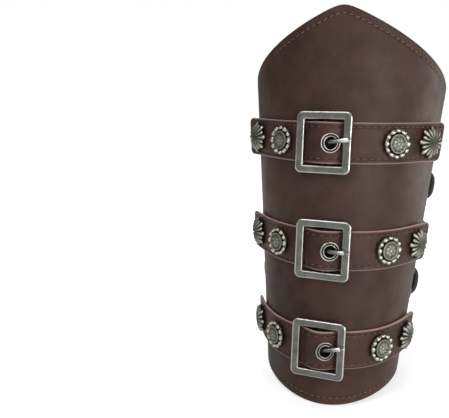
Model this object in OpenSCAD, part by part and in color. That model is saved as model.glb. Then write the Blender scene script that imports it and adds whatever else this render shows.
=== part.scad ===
// Leather bracer: a stitched forearm shell, three buckled straps with conchos, laced up the back.
// It stands on its wrist edge, +Z runs up to the point at the elbow and the buckles face -Y.

/* [Shell] */
// Height from the lowest point of the wrist edge to the point at the elbow
panel_h = 249; // [220:1:280]
// Width across the sides at the height of the point
elbow_w = 141.5; // [125:0.5:160]
// Width across the sides at the wrist edge
wrist_w = 91; // [80:0.5:110]
// Depth of the cross-section over its width
section_ratio = 1.25; // [1.1:0.05:1.5]
// Angle from the front centre round to each lacing edge
wrap_deg = 108; // [102:1:116]
// Thickness of the outer leather
leather_t = 2; // [1.6:0.1:2.6]
// Thickness of the lining
lining_t = 0.8; // [0.6:0.1:1.2]
// Margin that the lining leaves free along every edge
lining_margin = 1; // [0.5:0.1:3]
// How far the front of the wrist edge dips below its sides
wrist_dip = 9.5; // [4:0.5:14]
// Fall of the elbow edge at each side of the point, per millimetre of leather
point_slope = 0.52; // [0.4:0.01:0.6]
// How quickly that fall eases off towards the lacing edges, per square millimetre
point_ease = 0.0009; // [0.0005:0.0001:0.0012]
// Radius that blunts the point
point_r = 5; // [3:0.5:9]
// Radius of the elbow corners at the lacing edges
elbow_corner_r = 10; // [5:0.5:14]
// Radius of the wrist corners at the lacing edges
wrist_corner_r = 6; // [3:0.5:9]

/* [Straps] */
// Height of the lowest strap's middle
low_strap_z = 38; // [32:1:42]
// Height of the middle strap's middle
mid_strap_z = 102; // [92:1:110]
// Height of the highest strap's middle
top_strap_z = 168; // [158:1:172]
// Width of a strap
strap_w = 25; // [22:0.5:27]
// Thickness of a strap, two layers sewn together
strap_t = 2; // [1.6:0.1:2.4]
// Length of a strap along the leather
strap_l = 154; // [150:1:160]
// How far a strap's ends climb above its middle as it wraps the cone
strap_climb = 4.4; // [2:0.2:6]
// Radius of a strap's corners
strap_corner_r = 5; // [2:0.5:8]
// How far the highest strap stands off the shell at its flower conchos
end_lift = 1.4; // [0.4:0.1:1.6]

/* [Buckles] */
// Width of a buckle frame, along the strap
buckle_w = 33.8; // [33:0.1:36]
// Height of a buckle frame, across the strap
buckle_h = 37.5; // [36.5:0.5:42]
// Width of the frame's bars
frame_bar = 4.8; // [4:0.1:5.4]
// Thickness of the frame
frame_t = 3; // [2.6:0.1:3.4]
// Place of the lowest buckle's centre bar along its strap, from the front centre
low_buckle_s = -3.8; // [-8:0.1:0]
// Place of the middle buckle's centre bar along its strap
mid_buckle_s = -4.2; // [-8:0.1:0]
// Place of the highest buckle's centre bar along its strap
top_buckle_s = -6.9; // [-8:0.1:0]
// Diameter of the centre bar
bar_d = 2.2; // [1.8:0.1:2.4]
// Diameter of the prong
prong_d = 3; // [2.2:0.1:3.2]
// Depth of the groove that the prong's end rests in
prong_groove = 0.4; // [0.2:0.1:0.8]
// Bore of the eyelet that the prong comes up through
strap_eyelet_bore = 7.2; // [7:0.1:7.4]
// Width of that eyelet over its flange
strap_eyelet_d = 12.6; // [12:0.1:13.2]
// Distance along the strap from the centre bar to the eyelet
eyelet_offset = 3.7; // [3.3:0.1:4.1]

/* [Conchos] */
// Distance along the strap from the front centre to a round concho
round_s = 35.8; // [34:0.1:38]
// Distance along the strap from the front centre to a flower concho
flower_s = 64; // [62:0.1:65]
// Diameter of a round concho over its beads
round_d = 18.4; // [16:0.1:20]
// Diameter of a flower concho over its petals
flower_d = 20.2; // [18:0.1:21]
// Diameter of the screws that hold the conchos
screw_d = 4; // [3:0.1:4.6]

/* [Lacing] */
// Number of lacing eyelets at each edge, an even number
lace_eyelets = 10; // [6:2:10]
// Height of the lowest lacing eyelet
first_eyelet_z = 26; // [20:0.5:28]
// Spacing of the lacing eyelets
eyelet_pitch = 17.2; // [16.4:0.1:17.4]
// Distance from an eyelet's centre to the lacing edge
eyelet_margin = 11; // [9:0.5:13]
// Bore of a lacing eyelet
lace_bore = 5; // [4.6:0.1:5.6]
// Width of a lacing eyelet over its flange
lace_eyelet_d = 9.6; // [8.6:0.1:11]
// Diameter of the lace
lace_d = 3.8; // [3.2:0.1:4.2]

/* [Hidden] */

$fn = 48;

// Clearances
glue_gap = 0.1;        // between the leather and its lining
strap_gap = 0.15;      // between a strap and the shell
part_gap = 0.25;       // under a metal part that sits on curved leather
hole_gap = 0.1;        // round a screw, in radius
hinge_gap = 0.05;      // round the centre bar in the prong's loop, in radius
under_loop_gap = 0.4;  // between the prong's loop and the shell
under_strap_gap = 0.3; // between the prong's loop and the strap that crosses it

// Heights above the shell at a buckle
loop_wall = 0.9;
prong_loop_r = bar_d / 2 + hinge_gap + loop_wall;
bar_n = prong_loop_r + under_loop_gap;
bar_inset = 0.2; // how far the frame's back lies outside the centre bar's
frame_n = bar_n - bar_d / 2 + bar_inset;
frame_top_n = frame_n + frame_t;

// The strap humps over the centre bar, half of the hump lying on each side of it
hump_h = bar_n + prong_loop_r + under_strap_gap - strap_gap;
hump_half_l = 13;
function hump(u) = abs(u) < hump_half_l ? hump_h * pow(cos(90 * u / hump_half_l), 2) : 0;
function hump_slope(u) = -hump_h * sin(180 * u / hump_half_l) * PI / 2 / hump_half_l;
eyelet_slope = -atan(hump_slope(eyelet_offset));

// Window of the buckle frame and its inner corner radius
window_hw = buckle_w / 2 - frame_bar;
window_hh = buckle_h / 2 - frame_bar;
frame_corner_r = 0.6;

// Bend of the prong, in the plane across the centre bar
prong_knee = [5.5, bar_n + 4];
knuckle = 0.1; // how much thicker the prong is at its bend
prong_rise = atan2(prong_knee[1] - bar_n, prong_knee[0]);
prong_rest = [window_hw + frame_bar / 2, frame_top_n + prong_d / 2 - prong_groove];
prong_fall = atan2(prong_rest[1] - prong_knee[1], prong_rest[0] - prong_knee[0]);
prong_tip_u = window_hw + frame_bar * 0.72;
prong_loop_w = 4.2;

// Flanges of the eyelets
flange_t = 0.8;
flange_round = 0.5;  // slope at a flange's outer and inner edge
washer_t = 0.4;
washer_inset = 0.8;  // how far the washer lies inside the flange
barrel_wall = 0.6;
barrel_lip = 0.2;    // how far the barrel's end turns in
eyelet_play = 0.2;   // leather that is squeezed when an eyelet is set
wall_t = leather_t + glue_gap + lining_t;

// Screws of the conchos
screw_head_d = 8.4;
screw_head_t = 1.3;
screw_dome = [0.9, 0.7]; // inwards and down, from the head's rim to its flat
screw_in_concho = 1.6;
slot = [5.6, 0.9, 0.7];  // length, width and depth of a screw's slot

// Round concho: heights over its seat, and radii
beads = 12;
bead_r = 1.45;
bead_n = 1.8;
ring_n = 1.5;
channel_n = 1.2;
channel_w = 0.5;
medal_r = 5.9;
medal_n = 3.4;
medal_rim = 0.8;  // width of the medallion's rim
medal_sunk = 0.5; // how far its field lies below the rim
field_n = 3.7;
rosette_beads = 7;
rosette_r = 2.7;
rosette_bead_r = 0.85;
boss_r = 1.15;

// Flower concho
petals = 20;
crown_r = 2.6;
crown_n = 3.4;
dish_edge = 1.2;  // how far the dish lies inside the petals' ends
dish_n = 1.4;
long_petal_r = 1.3;
long_slope = 19;
short_petal_r = 1.05;
short_slope = 14;
short_share = 0.68; // of a long petal's length
petal_root_r = 0.3;

// Eyelets and lace
eyelet_z = [for (i = [0:lace_eyelets - 1]) first_eyelet_z + i * eyelet_pitch];
lace_sides = 8;
lace_out = lace_d / 2 + flange_t + 0.3;
lace_in = wall_t + washer_t + 0.8;
cross_gap = 0.5;
knot_d = 10.5;
knot_l = 11;
knot_grip = 0.3; // how far the lace runs into the knot
knot_round = 0.8; // how much the knot narrows towards its ends
tail_l = 24;
tip_l = 12;
tip_wall = 0.35;

// The cross-section of the shell is an ellipse whose size grows evenly with height,
// so every straight line up the leather runs to one apex below it.
function half_w(z) = (wrist_w + (elbow_w - wrist_w) * z / panel_h) / 2;
growth = (elbow_w - wrist_w) / panel_h / 2;

// Length of the unit cross-section from the front centre to each whole degree
function step_l(t) = norm([cos(t), section_ratio * sin(t)]) * PI / 180;
arc_rows = [for (t = 0, l = 0; t <= 180; l = l + step_l(t + 0.5), t = t + 1) [l, t]];
deg_rows = [for (row = arc_rows) [row[1], row[0]]];
function arc_at(t) = sign(t) * lookup(abs(t), deg_rows);
function deg_at(s, z) = sign(s) * lookup(abs(s) / half_w(z), arc_rows);

// Edges of the shell: how high the elbow edge and the wrist edge lie at an angle
function corner_drop(s, s_end, r) =
    s <= s_end - r ? 0 : r - sqrt(max(0, r * r - pow(s - s_end + r, 2)));
shoulder_w = half_w(0.84 * panel_h);
function top_s(t) = abs(arc_at(t)) * shoulder_w;
function top_z(t, margin = 0) =
    let (s = top_s(t))
    panel_h - margin
        - point_slope * (sqrt(s * s + point_r * point_r) - point_r)
        + point_ease * s * s
        - corner_drop(s + margin, top_s(wrap_deg), elbow_corner_r);
function wrist_s(t) = abs(arc_at(t)) * half_w(0);
function wrist_z(t, margin = 0) =
    margin + wrist_dip * pow(sin(t), 2)
        + corner_drop(wrist_s(t) + margin, wrist_s(wrap_deg), wrist_corner_r);

// Place of the shell, so that the bracer stands over the origin
front_reach = strap_gap + hump(eyelet_offset)
    + (strap_t + flange_t) * cos(eyelet_slope) + strap_eyelet_d / 2 * sin(eyelet_slope);
back_reach = section_ratio * half_w(0.75 * panel_h) * (1 - cos(wrap_deg));
front_y = (front_reach - back_reach) / 2;

// A point n above the outer leather, and the directions there: along, up and out
function on_leather(t, z) =
    half_w(z) * [sin(t), section_ratio * (1 - cos(t)), 0] + [0, front_y, z];
function along(t) = let (d = [cos(t), section_ratio * sin(t), 0]) d / norm(d);
function outward(t) =
    let (d = cross([cos(t), section_ratio * sin(t), 0],
        [growth * sin(t), growth * section_ratio * (1 - cos(t)), 1])) d / norm(d);
function skin(t, z, n = 0) = on_leather(t, z) + n * outward(t);

// Puts what is drawn round the origin onto the leather, with its Z pointing outwards
module on_skin(t, z, n = 0) {
    p = skin(t, z, n);
    u = along(t);
    o = outward(t);
    v = cross(o, u);
    multmatrix([
        [u[0], v[0], o[0], p[0]],
        [u[1], v[1], o[1], p[1]],
        [u[2], v[2], o[2], p[2]]
    ]) children();
}

// Triangles of a body lofted through rings of points, closed at both ends
function loft_faces(rings, sides) = concat(
    [for (j = [1:sides - 2]) [0, j, j + 1]],
    [for (i = [0:rings - 2], j = [0:sides - 1], half = [0, 1])
        let (a = i * sides + j, b = i * sides + (j + 1) % sides)
        half == 0 ? [a, a + sides, b] : [b, a + sides, b + sides]],
    [for (j = [1:sides - 2]) let (e = (rings - 1) * sides) [e, e + j + 1, e + j]]
);

module loft(rings) {
    sides = len(rings[0]);
    polyhedron([for (ring = rings, p = ring) p], loft_faces(len(rings), sides));
}

// Angles of the shell's columns, closer together at the point and at the rounded corners
half_columns = 30;
point_columns = [1.2, 2.4, 4];
side_columns = [for (i = [1:half_columns]) wrap_deg * sin(90 * i / half_columns)];
right_columns = concat(point_columns, [for (t = side_columns) if (t > 4.5) t]);
columns = concat(
    [for (i = [len(right_columns) - 1:-1:0]) -right_columns[i]], [0], right_columns);

// One layer of the shell between two depths under the outer surface
module shell_layer(n_out, n_in, margin = 0) {
    squeeze = 1 - margin / (arc_at(wrap_deg) * half_w(panel_h / 2));
    loft([for (c = columns) let (t = c * squeeze) [
        skin(t, wrist_z(c, margin), n_out),
        skin(t, top_z(c, margin), n_out),
        skin(t, top_z(c, margin), n_in),
        skin(t, wrist_z(c, margin), n_in)
    ]]);
}

function eyelet_deg(z) =
    deg_at(arc_at(wrap_deg) * half_w(z) - eyelet_margin, z);
function strap_z(level) = [low_strap_z, mid_strap_z, top_strap_z][level];
function climbed_z(level, t) = strap_z(level) + strap_climb * (1 - cos(t));
function buckle_s(level) = [low_buckle_s, mid_buckle_s, top_buckle_s][level];
concho_places = [-flower_s, -round_s, round_s, flower_s];

// Height of a strap's underside over the shell: the hump, and stiff ends that leave the shell
// beyond the round conchos, more so on the higher straps
lift_start = round_s + round_d / 2 + 5;
lift_share = [0.45, 0.75, 1]; // of end_lift, from the lowest strap up
function lift_at(level) = end_lift * lift_share[level];
function past(s) = max(0, abs(s) - lift_start) / (flower_s - lift_start);
function strap_n(level, s) =
    strap_gap + hump(s - buckle_s(level)) + lift_at(level) * past(s) * past(s);
function strap_tilt(level, s) =
    -sign(s) * atan(2 * lift_at(level) * past(s) / (flower_s - lift_start));

// Puts what is drawn round the origin on a strap where a concho sits, square to the strap
function seat_n(level, s) = strap_n(level, s) + strap_t + part_gap;
module at_concho(level, s) {
    t = deg_at(s, strap_z(level));
    on_skin(t, climbed_z(level, t), seat_n(level, s)) rotate([0, strap_tilt(level, s), 0]) children();
}

// Drills through the shell, for every concho screw and every lacing eyelet
drill_l = 24;
module shell_holes() {
    for (level = [0:2], s = concho_places)
        at_concho(level, s) cylinder(r = screw_d / 2 + hole_gap, h = drill_l, center = true);
    for (side = [-1, 1], z = eyelet_z)
        on_skin(side * eyelet_deg(z), z)
            cylinder(r = lace_bore / 2 + barrel_wall, h = drill_l, center = true);
}

module outer_panel() {
    color("#4a3630") difference() {
        shell_layer(0, -leather_t);
        shell_holes();
    }
}

module lining() {
    color("#2e2320") difference() {
        shell_layer(-leather_t - glue_gap, -wall_t, lining_margin);
        shell_holes();
    }
}

// Half width of a strap along its length, which rounds its corners
function strap_hw(s) =
    strap_w / 2 - corner_drop(abs(s), strap_l / 2, strap_corner_r);

strap_step = 2.2;
corner_steps = [0, 0.04, 0.15, 0.34, 0.6];
strap_stations = concat(
    [for (f = corner_steps) -strap_l / 2 + f * strap_corner_r],
    [for (s = [-strap_l / 2 + strap_corner_r : strap_step : strap_l / 2 - strap_corner_r]) s],
    [for (i = [len(corner_steps) - 1:-1:0]) strap_l / 2 - corner_steps[i] * strap_corner_r]
);

module strap_body(level) {
    loft([for (s = strap_stations)
        let (
            t = deg_at(s, strap_z(level)),
            z = climbed_z(level, t),
            w = strap_hw(s),
            n = strap_n(level, s)
        ) [
            skin(t, z - w, n + strap_t),
            skin(t, z + w, n + strap_t),
            skin(t, z + w, n),
            skin(t, z - w, n)
        ]]);
}

// Puts what is drawn round the origin at a strap's eyelet, square to the sloping strap
module at_strap_eyelet(level) {
    s = buckle_s(level) + eyelet_offset;
    t = deg_at(s, strap_z(level));
    on_skin(t, climbed_z(level, t), strap_n(level, s))
        rotate([0, eyelet_slope, 0]) translate([0, 0, strap_t / 2]) children();
}

module strap(level) {
    color("#55382f") difference() {
        strap_body(level);
        for (s = concho_places)
            at_concho(level, s) cylinder(r = screw_d / 2 + hole_gap, h = drill_l, center = true);
        at_strap_eyelet(level) cylinder(r = strap_eyelet_bore / 2 + barrel_wall, h = 8, center = true);
    }
}

// Puts what is drawn round the origin at a buckle: X along the strap, Y up, Z outwards
module at_buckle(level) {
    t = deg_at(buckle_s(level), strap_z(level));
    on_skin(t, climbed_z(level, t)) children();
}

// Section of the frame's bars, with bevelled edges
bevel = 0.7;
back_bevel = 0.3;
frame_section = [
    [0, back_bevel], [back_bevel, 0], [frame_bar - back_bevel, 0], [frame_bar, back_bevel],
    [frame_bar, frame_t - bevel], [frame_bar - bevel, frame_t], [bevel, frame_t], [0, frame_t - bevel]
];

module frame_side(half_length, offset) {
    rotate([90, 0, 0]) linear_extrude(2 * half_length, center = true)
        translate([offset, 0]) polygon(frame_section);
}

module frame_ring() {
    u = window_hw - frame_corner_r;
    v = window_hh - frame_corner_r;
    for (turn = [0, 180]) rotate([0, 0, turn]) {
        frame_side(v, window_hw);
        rotate([0, 0, 90]) frame_side(u, window_hh);
        translate([u, v, 0])
            rotate_extrude(angle = 90) translate([frame_corner_r, 0]) polygon(frame_section);
        translate([-u, v, 0]) rotate([0, 0, 90])
            rotate_extrude(angle = 90) translate([frame_corner_r, 0]) polygon(frame_section);
    }
}

bar_half_l = window_hh + frame_bar / 2;
module buckle_frame(level) {
    color("#8f918c") at_buckle(level) difference() {
        translate([0, 0, frame_n]) frame_ring();
        translate([0, 0, bar_n]) rotate([90, 0, 0]) cylinder(d = bar_d, h = 2 * bar_half_l, center = true);
        rotate([90, 0, 0]) prong_end(hinge_gap, frame_bar);
    }
}

module centre_bar(level) {
    color("#7c7e7a") at_buckle(level) translate([0, 0, bar_n])
        rotate([90, 0, 0]) cylinder(d = bar_d, h = 2 * bar_half_l, center = true);
}

// The prong is drawn flat, X along the strap and Y outwards, then stood up across the bar
prong_root_l = norm(prong_knee - [0, bar_n]);
prong_end_l = (prong_tip_u - prong_knee[0]) / cos(prong_fall);

module prong_end(room = 0, longer = 0) {
    translate([prong_knee[0], prong_knee[1], 0]) rotate([0, 0, prong_fall]) rotate([0, 90, 0])
        cylinder(r = prong_d / 2 + room, h = prong_end_l + longer);
}

module prong(level) {
    color("#9a9c97") at_buckle(level) rotate([90, 0, 0]) difference() {
        union() {
            translate([0, bar_n, 0]) cylinder(r = prong_loop_r, h = prong_loop_w, center = true);
            translate([0, bar_n, 0]) rotate([0, 0, prong_rise]) rotate([0, 90, 0])
                cylinder(d = prong_d, h = prong_root_l);
            translate([prong_knee[0], prong_knee[1], 0]) sphere(d = prong_d + knuckle);
            prong_end();
        }
        translate([0, bar_n, 0]) cylinder(r = bar_d / 2 + hinge_gap, h = prong_loop_w + 2, center = true);
    }
}

// An eyelet set in leather of a given thickness, its middle at the origin and its flange on top
module eyelet(bore, flange_d, thickness) {
    wall_r = bore / 2 + barrel_wall;
    top = thickness / 2;
    rotate_extrude() polygon([
        [bore / 2, -top + barrel_lip], [bore / 2 + flange_round, -top - washer_t],
        [flange_d / 2 - washer_inset, -top - washer_t], [flange_d / 2 - washer_inset, -top],
        [wall_r, -top], [wall_r, top], [flange_d / 2, top],
        [flange_d / 2, top + flange_t * 0.4], [flange_d / 2 - flange_round, top + flange_t],
        [wall_r + flange_round, top + flange_t], [bore / 2, top - barrel_lip / 2]
    ]);
}

module strap_eyelet(level) {
    color("#8a8c87") at_strap_eyelet(level)
        eyelet(strap_eyelet_bore, strap_eyelet_d, strap_t + eyelet_play);
}

module lacing_eyelets(side) {
    color("#8a8c87") for (z = eyelet_z)
        on_skin(side * eyelet_deg(z), z, -wall_t / 2)
            eyelet(lace_bore, lace_eyelet_d, wall_t + eyelet_play);
}

// A concho's screw goes up into its back
module screw_socket() {
    translate([0, 0, -1]) cylinder(d = screw_d, h = 1 + screw_in_concho);
}

// Round concho: a ring of beads, a sunk channel and a raised medallion with a small rosette
module round_concho() {
    ring_r = round_d / 2 - bead_r;
    difference() {
        union() {
            rotate_extrude() polygon([
                [0, 0], [ring_r, 0], [ring_r + bead_r / 2, ring_n / 3], [ring_r + bead_r / 2, ring_n],
                [ring_r - bead_r / 2, bead_n], [medal_r + channel_w, channel_n], [medal_r, channel_n],
                [medal_r, medal_n - medal_rim / 2], [medal_r - medal_rim / 2, medal_n],
                [medal_r - medal_rim, medal_n - medal_sunk], [boss_r, field_n - 0.1], [0, field_n]
            ]);
            for (i = [0:beads - 1]) rotate([0, 0, i * 360 / beads])
                translate([ring_r, 0, bead_n]) sphere(bead_r, $fn = 24);
            for (i = [0:rosette_beads - 1]) rotate([0, 0, i * 360 / rosette_beads])
                translate([rosette_r, 0, medal_n - 0.3]) sphere(rosette_bead_r, $fn = 20);
            translate([0, 0, medal_n]) sphere(boss_r, $fn = 24);
        }
        screw_socket();
    }
}

// Petal of a flower concho: a stem that widens outwards to a round end, drawn along X
module petal(length, r) {
    rotate([0, 90, 0]) cylinder(r1 = petal_root_r, r2 = 0.8 * r, h = length - r, $fn = 24);
    translate([length - r, 0, 0]) sphere(r, $fn = 24);
}

// Flower concho: long and short petals in turn on a dome
module flower_concho() {
    reach = flower_d / 2 - crown_r;
    dish_r = flower_d / 2 - dish_edge;
    difference() {
        union() {
            rotate_extrude() polygon([
                [0, 0], [dish_r - 0.8, 0], [dish_r, dish_n / 2], [dish_r - 1, dish_n],
                [crown_r, crown_n], [0, crown_n]
            ]);
            for (i = [0:petals - 1]) rotate([0, 0, i * 360 / petals])
                if (i % 2 == 0)
                    translate([crown_r, 0, crown_n - 0.1]) rotate([0, long_slope, 0])
                        petal(reach / cos(long_slope), long_petal_r);
                else
                    translate([crown_r, 0, crown_n + 0.1]) rotate([0, short_slope, 0])
                        petal(short_share * reach, short_petal_r);
        }
        screw_socket();
    }
}

module round_conchos(level) {
    color("#8d8f8a") for (s = [-round_s, round_s]) at_concho(level, s) round_concho();
}

module flower_conchos(level) {
    color("#93958f") for (s = [-flower_s, flower_s]) at_concho(level, s) flower_concho();
}

// The head lies far enough in for its tilted rim to clear the lining
module concho_screws(level) {
    color("#75777a") for (s = concho_places) {
        tilt = abs(strap_tilt(level, s));
        lining_n = (seat_n(level, s) + wall_t) / cos(tilt);
        head_n = lining_n + part_gap + screw_head_d / 2 * tan(tilt) + screw_head_t;
        shank_l = head_n + screw_in_concho;
        at_concho(level, s) translate([0, 0, -head_n]) difference() {
            union() {
                rotate_extrude() polygon([
                    [0, 0], [screw_head_d / 2 - screw_dome[0], 0], [screw_head_d / 2, screw_dome[1]],
                    [screw_head_d / 2, screw_head_t], [0, screw_head_t]
                ]);
                cylinder(d = screw_d, h = shank_l);
            }
            cube([slot[0], slot[1], 2 * slot[2]], center = true);
        }
    }
}

// The lace starts at the knot, runs down to the wrist through every second pair of eyelets,
// crosses over there and comes back up through the others.
function hole_point(side, i, n, dz = 0) =
    skin(side * eyelet_deg(eyelet_z[i] + dz), eyelet_z[i] + dz, n);
knot_place = hole_point(1, lace_eyelets - 1, -lace_in)
    - [hole_point(1, lace_eyelets - 1, -lace_in)[0], 0, 4];

// One outside run between two neighbouring eyelets, going towards wrist or elbow
function outside_run(side, i, way) = [
    hole_point(side, i, -lace_in),
    hole_point(side, i, 0.6),
    hole_point(side, i, lace_out, way * 0.2 * eyelet_pitch),
    hole_point(side, i, lace_out + 0.3, way * 0.5 * eyelet_pitch),
    hole_point(side, i, lace_out, way * 0.8 * eyelet_pitch),
    hole_point(side, i + way, 0.6),
    hole_point(side, i + way, -lace_in)
];

// Middle of a crossing, pushed apart from the other strand
function crossing(a, b, push) = (a + b) / 2 + [0, push * (lace_d + cross_gap) / 2, -1];
function side_of(steps_to_knot, last) = steps_to_knot % 2 == 0 ? last : -last;
runs_down = [for (k = [lace_eyelets - 1:-2:1]) [side_of((lace_eyelets - 1 - k) / 2, -1), k]];
runs_up = [for (k = [0:2:lace_eyelets - 2]) [side_of((lace_eyelets - 2 - k) / 2, 1), k]];
down_half = [for (j = [0:len(runs_down) - 1])
    let (run = runs_down[j], pts = outside_run(run[0], run[1], -1))
    each j < len(runs_down) - 1
        ? concat(pts, [crossing(pts[6], hole_point(-run[0], run[1] - 2, -lace_in), 1)])
        : pts];
up_half = [for (j = [0:len(runs_up) - 1])
    let (run = runs_up[j], pts = outside_run(run[0], run[1], 1))
    each j < len(runs_up) - 1
        ? concat(pts, [crossing(pts[6], hole_point(-run[0], run[1] + 2, -lace_in), -1)])
        : pts];
lace_route = concat(
    [knot_place - [knot_l / 2 - knot_grip, 0, 0]],
    down_half,
    up_half,
    [knot_place + [knot_l / 2 - knot_grip, 0, 0]]
);

// Rings of a cord square to its route
function unit(v) = v / norm(v);
function cord_rings(route, d, sides) = [for (i = [0:len(route) - 1])
    let (
        before = i == 0 ? route[1] - route[0] : route[i] - route[i - 1],
        after = i == len(route) - 1 ? before : route[i + 1] - route[i],
        dir = unit(unit(before) + unit(after)),
        side = unit(cross(dir, [0, 1, 0])),
        up = cross(side, dir),
        mitre = 1 / max(0.75, dir * unit(after))
    )
    [for (j = [0:sides - 1]) let (a = 360 * j / sides)
        route[i] + d / 2 * (cos(a) * mitre * side + sin(a) * up)]];

module lace() {
    color("#161616") loft(cord_rings(lace_route, lace_d, lace_sides));
}

// The two ends are tied in the middle and hang down outside the next crossing
tail_splay = 16;
tail_lean = 12;
module tails(r, from, length) {
    translate(knot_place) for (way = [-1, 1]) rotate([-tail_lean, 180 - way * tail_splay, 0])
        translate([0, 0, from]) cylinder(r = r, h = length);
}

module lace_knot() {
    color("#161616") {
        translate(knot_place) rotate([0, 90, 0]) rotate_extrude() polygon([
            [0, -knot_l / 2], [lace_d / 2, -knot_l / 2],
            [knot_d / 2 - knot_round, -knot_l / 4], [knot_d / 2, 0], [knot_d / 2 - knot_round, knot_l / 4],
            [lace_d / 2, knot_l / 2], [0, knot_l / 2]
        ]);
        tails(lace_d / 2, 2, tail_l - 2);
    }
}

module lace_tips() {
    color("#8a8c87") difference() {
        tails(lace_d / 2 + tip_wall, tail_l - tip_l + 4, tip_l);
        tails(lace_d / 2, tail_l - tip_l, tip_l);
    }
}

outer_panel();
lining();
strap(2);  // strap_top
strap(1);  // strap_mid
strap(0);  // strap_low
buckle_frame(2);  // buckle_frame_top
buckle_frame(1);  // buckle_frame_mid
buckle_frame(0);  // buckle_frame_low
centre_bar(2);  // centre_bar_top
centre_bar(1);  // centre_bar_mid
centre_bar(0);  // centre_bar_low
prong(2);  // prong_top
prong(1);  // prong_mid
prong(0);  // prong_low
strap_eyelet(2);  // strap_eyelet_top
strap_eyelet(1);  // strap_eyelet_mid
strap_eyelet(0);  // strap_eyelet_low
round_conchos(2);  // round_conchos_top
round_conchos(1);  // round_conchos_mid
round_conchos(0);  // round_conchos_low
flower_conchos(2);  // flower_conchos_top
flower_conchos(1);  // flower_conchos_mid
flower_conchos(0);  // flower_conchos_low
concho_screws(2);  // concho_screws_top
concho_screws(1);  // concho_screws_mid
concho_screws(0);  // concho_screws_low
lacing_eyelets(-1);  // lacing_eyelets_left
lacing_eyelets(1);  // lacing_eyelets_right
lace();
lace_knot();
lace_tips();
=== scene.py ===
# %% [markdown]
# # A laced leather bracer
# A bracer is a stiff leather cuff for the forearm. This one is a lined shell of thick brown leather
# with a stitched edge, three sewn straps with square buckles, silver conchos screwed through the
# straps, and a black cord that laces it up at the back. The CAD model fixes every size and place,
# so this lesson only dresses it: each step replaces a plain solid by the surface that the real
# piece shows, or gives a solid that already has the right shape a better finish.

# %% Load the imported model
import bpy
import numpy as np
from mathutils import Matrix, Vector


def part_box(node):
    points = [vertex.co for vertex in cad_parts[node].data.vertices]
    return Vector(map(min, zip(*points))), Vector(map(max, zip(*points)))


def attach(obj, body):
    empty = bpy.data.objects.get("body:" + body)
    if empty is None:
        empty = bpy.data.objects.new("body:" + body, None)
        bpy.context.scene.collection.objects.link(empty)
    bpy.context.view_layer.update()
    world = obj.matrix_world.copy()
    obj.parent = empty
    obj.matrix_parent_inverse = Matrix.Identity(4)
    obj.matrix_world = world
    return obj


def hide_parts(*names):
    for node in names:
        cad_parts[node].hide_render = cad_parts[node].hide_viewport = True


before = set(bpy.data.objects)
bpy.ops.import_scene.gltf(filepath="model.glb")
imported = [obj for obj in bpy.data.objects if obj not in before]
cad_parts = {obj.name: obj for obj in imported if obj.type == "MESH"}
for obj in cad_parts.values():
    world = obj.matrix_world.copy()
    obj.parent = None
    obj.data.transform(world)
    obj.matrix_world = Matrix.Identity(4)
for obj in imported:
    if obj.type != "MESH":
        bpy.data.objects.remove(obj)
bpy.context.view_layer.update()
MM = 0.001

# %% [markdown]
# ## Camera
# The picture is taken from a little above and to the right, with the bracer in the right half of
# the frame. A camera could be aimed with a tracking constraint, but three plain angles and a
# position say the same thing and stay put, so the matrix is written out from them.

# %% Camera at the photograph's viewing angle
def turned_to(x_axis, y_axis, z_axis, place):
    """The matrix that points an object's own axes along these three and sets it at a place."""
    return Matrix(np.column_stack([x_axis, y_axis, z_axis, place]).tolist() + [[0, 0, 0, 1]])


yaw, pitch, roll = -0.279, 0.141, 0.028
forward = np.array([np.sin(yaw) * np.cos(pitch), np.cos(yaw) * np.cos(pitch), -np.sin(pitch)])
level_right = np.array([np.cos(yaw), -np.sin(yaw), 0.0])
level_up = np.cross(level_right, forward)
right = level_right * np.cos(roll) + level_up * np.sin(roll)
up = level_up * np.cos(roll) - level_right * np.sin(roll)

camera = bpy.data.objects.new("camera", bpy.data.cameras.new("camera"))
camera.data.lens = 46.5
camera.data.sensor_width = 36
camera.matrix_world = turned_to(right, up, -forward, np.array([33.51, -406.21, 175.91]) * MM)
bpy.context.scene.collection.objects.link(camera)
bpy.context.scene.camera = camera
print("camera looks along", forward.round(3))

# %% [markdown]
# ## Numpy meshes
# Every new piece here is a grid of points worked out by a formula. A mesh could be built with
# operators one face at a time, but whole arrays are quicker and the formula stays readable.
# These helpers turn grids into faces, close them, and hand them to Blender in one go.

# %% Faces of a grid
def grid_faces(rows, cols, round_rows=False, round_cols=False):
    """Quads between neighbouring points of a grid; a round direction joins its end to its start."""
    i = np.arange(rows if round_rows else rows - 1)[:, None]
    j = np.arange(cols if round_cols else cols - 1)[None, :]
    i_next, j_next = (i + 1) % rows, (j + 1) % cols
    corners = [i * cols + j, i * cols + j_next, i_next * cols + j_next, i_next * cols + j]
    return np.stack([c + 0 * (i + j) for c in corners], -1).reshape(-1, 4)


print("3 by 3 points have", len(grid_faces(3, 3)), "faces, as a closed ring",
      len(grid_faces(3, 3, True, True)))


# %% Facing outwards, and joining
def turned_outwards(points, faces):
    """Turns a closed body's faces round if its volume comes out negative, by the sign of the sum
    of p0 . (p1 x p2) over its triangles."""
    total = 0.0
    for f in faces:
        for k in range(1, f.shape[1] - 1):
            a, b, c = points[f[:, 0]], points[f[:, k]], points[f[:, k + 1]]
            total += np.einsum("ij,ij->", a - points[0], np.cross(b - points[0], c - points[0]))
    return points, [f[:, ::-1] for f in faces] if total < 0 else faces


def joined(bodies):
    """Several (points, faces, values) bodies as one, with the faces' numbers moved along."""
    points, faces, first = [], [], 0
    for body in bodies:
        points.append(body[0])
        faces.extend(f + first for f in body[1])
        first += len(body[0])
    values = {key: np.concatenate([body[2][key] for body in bodies]) for key in bodies[0][2]}
    return np.concatenate(points), faces, values


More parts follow.
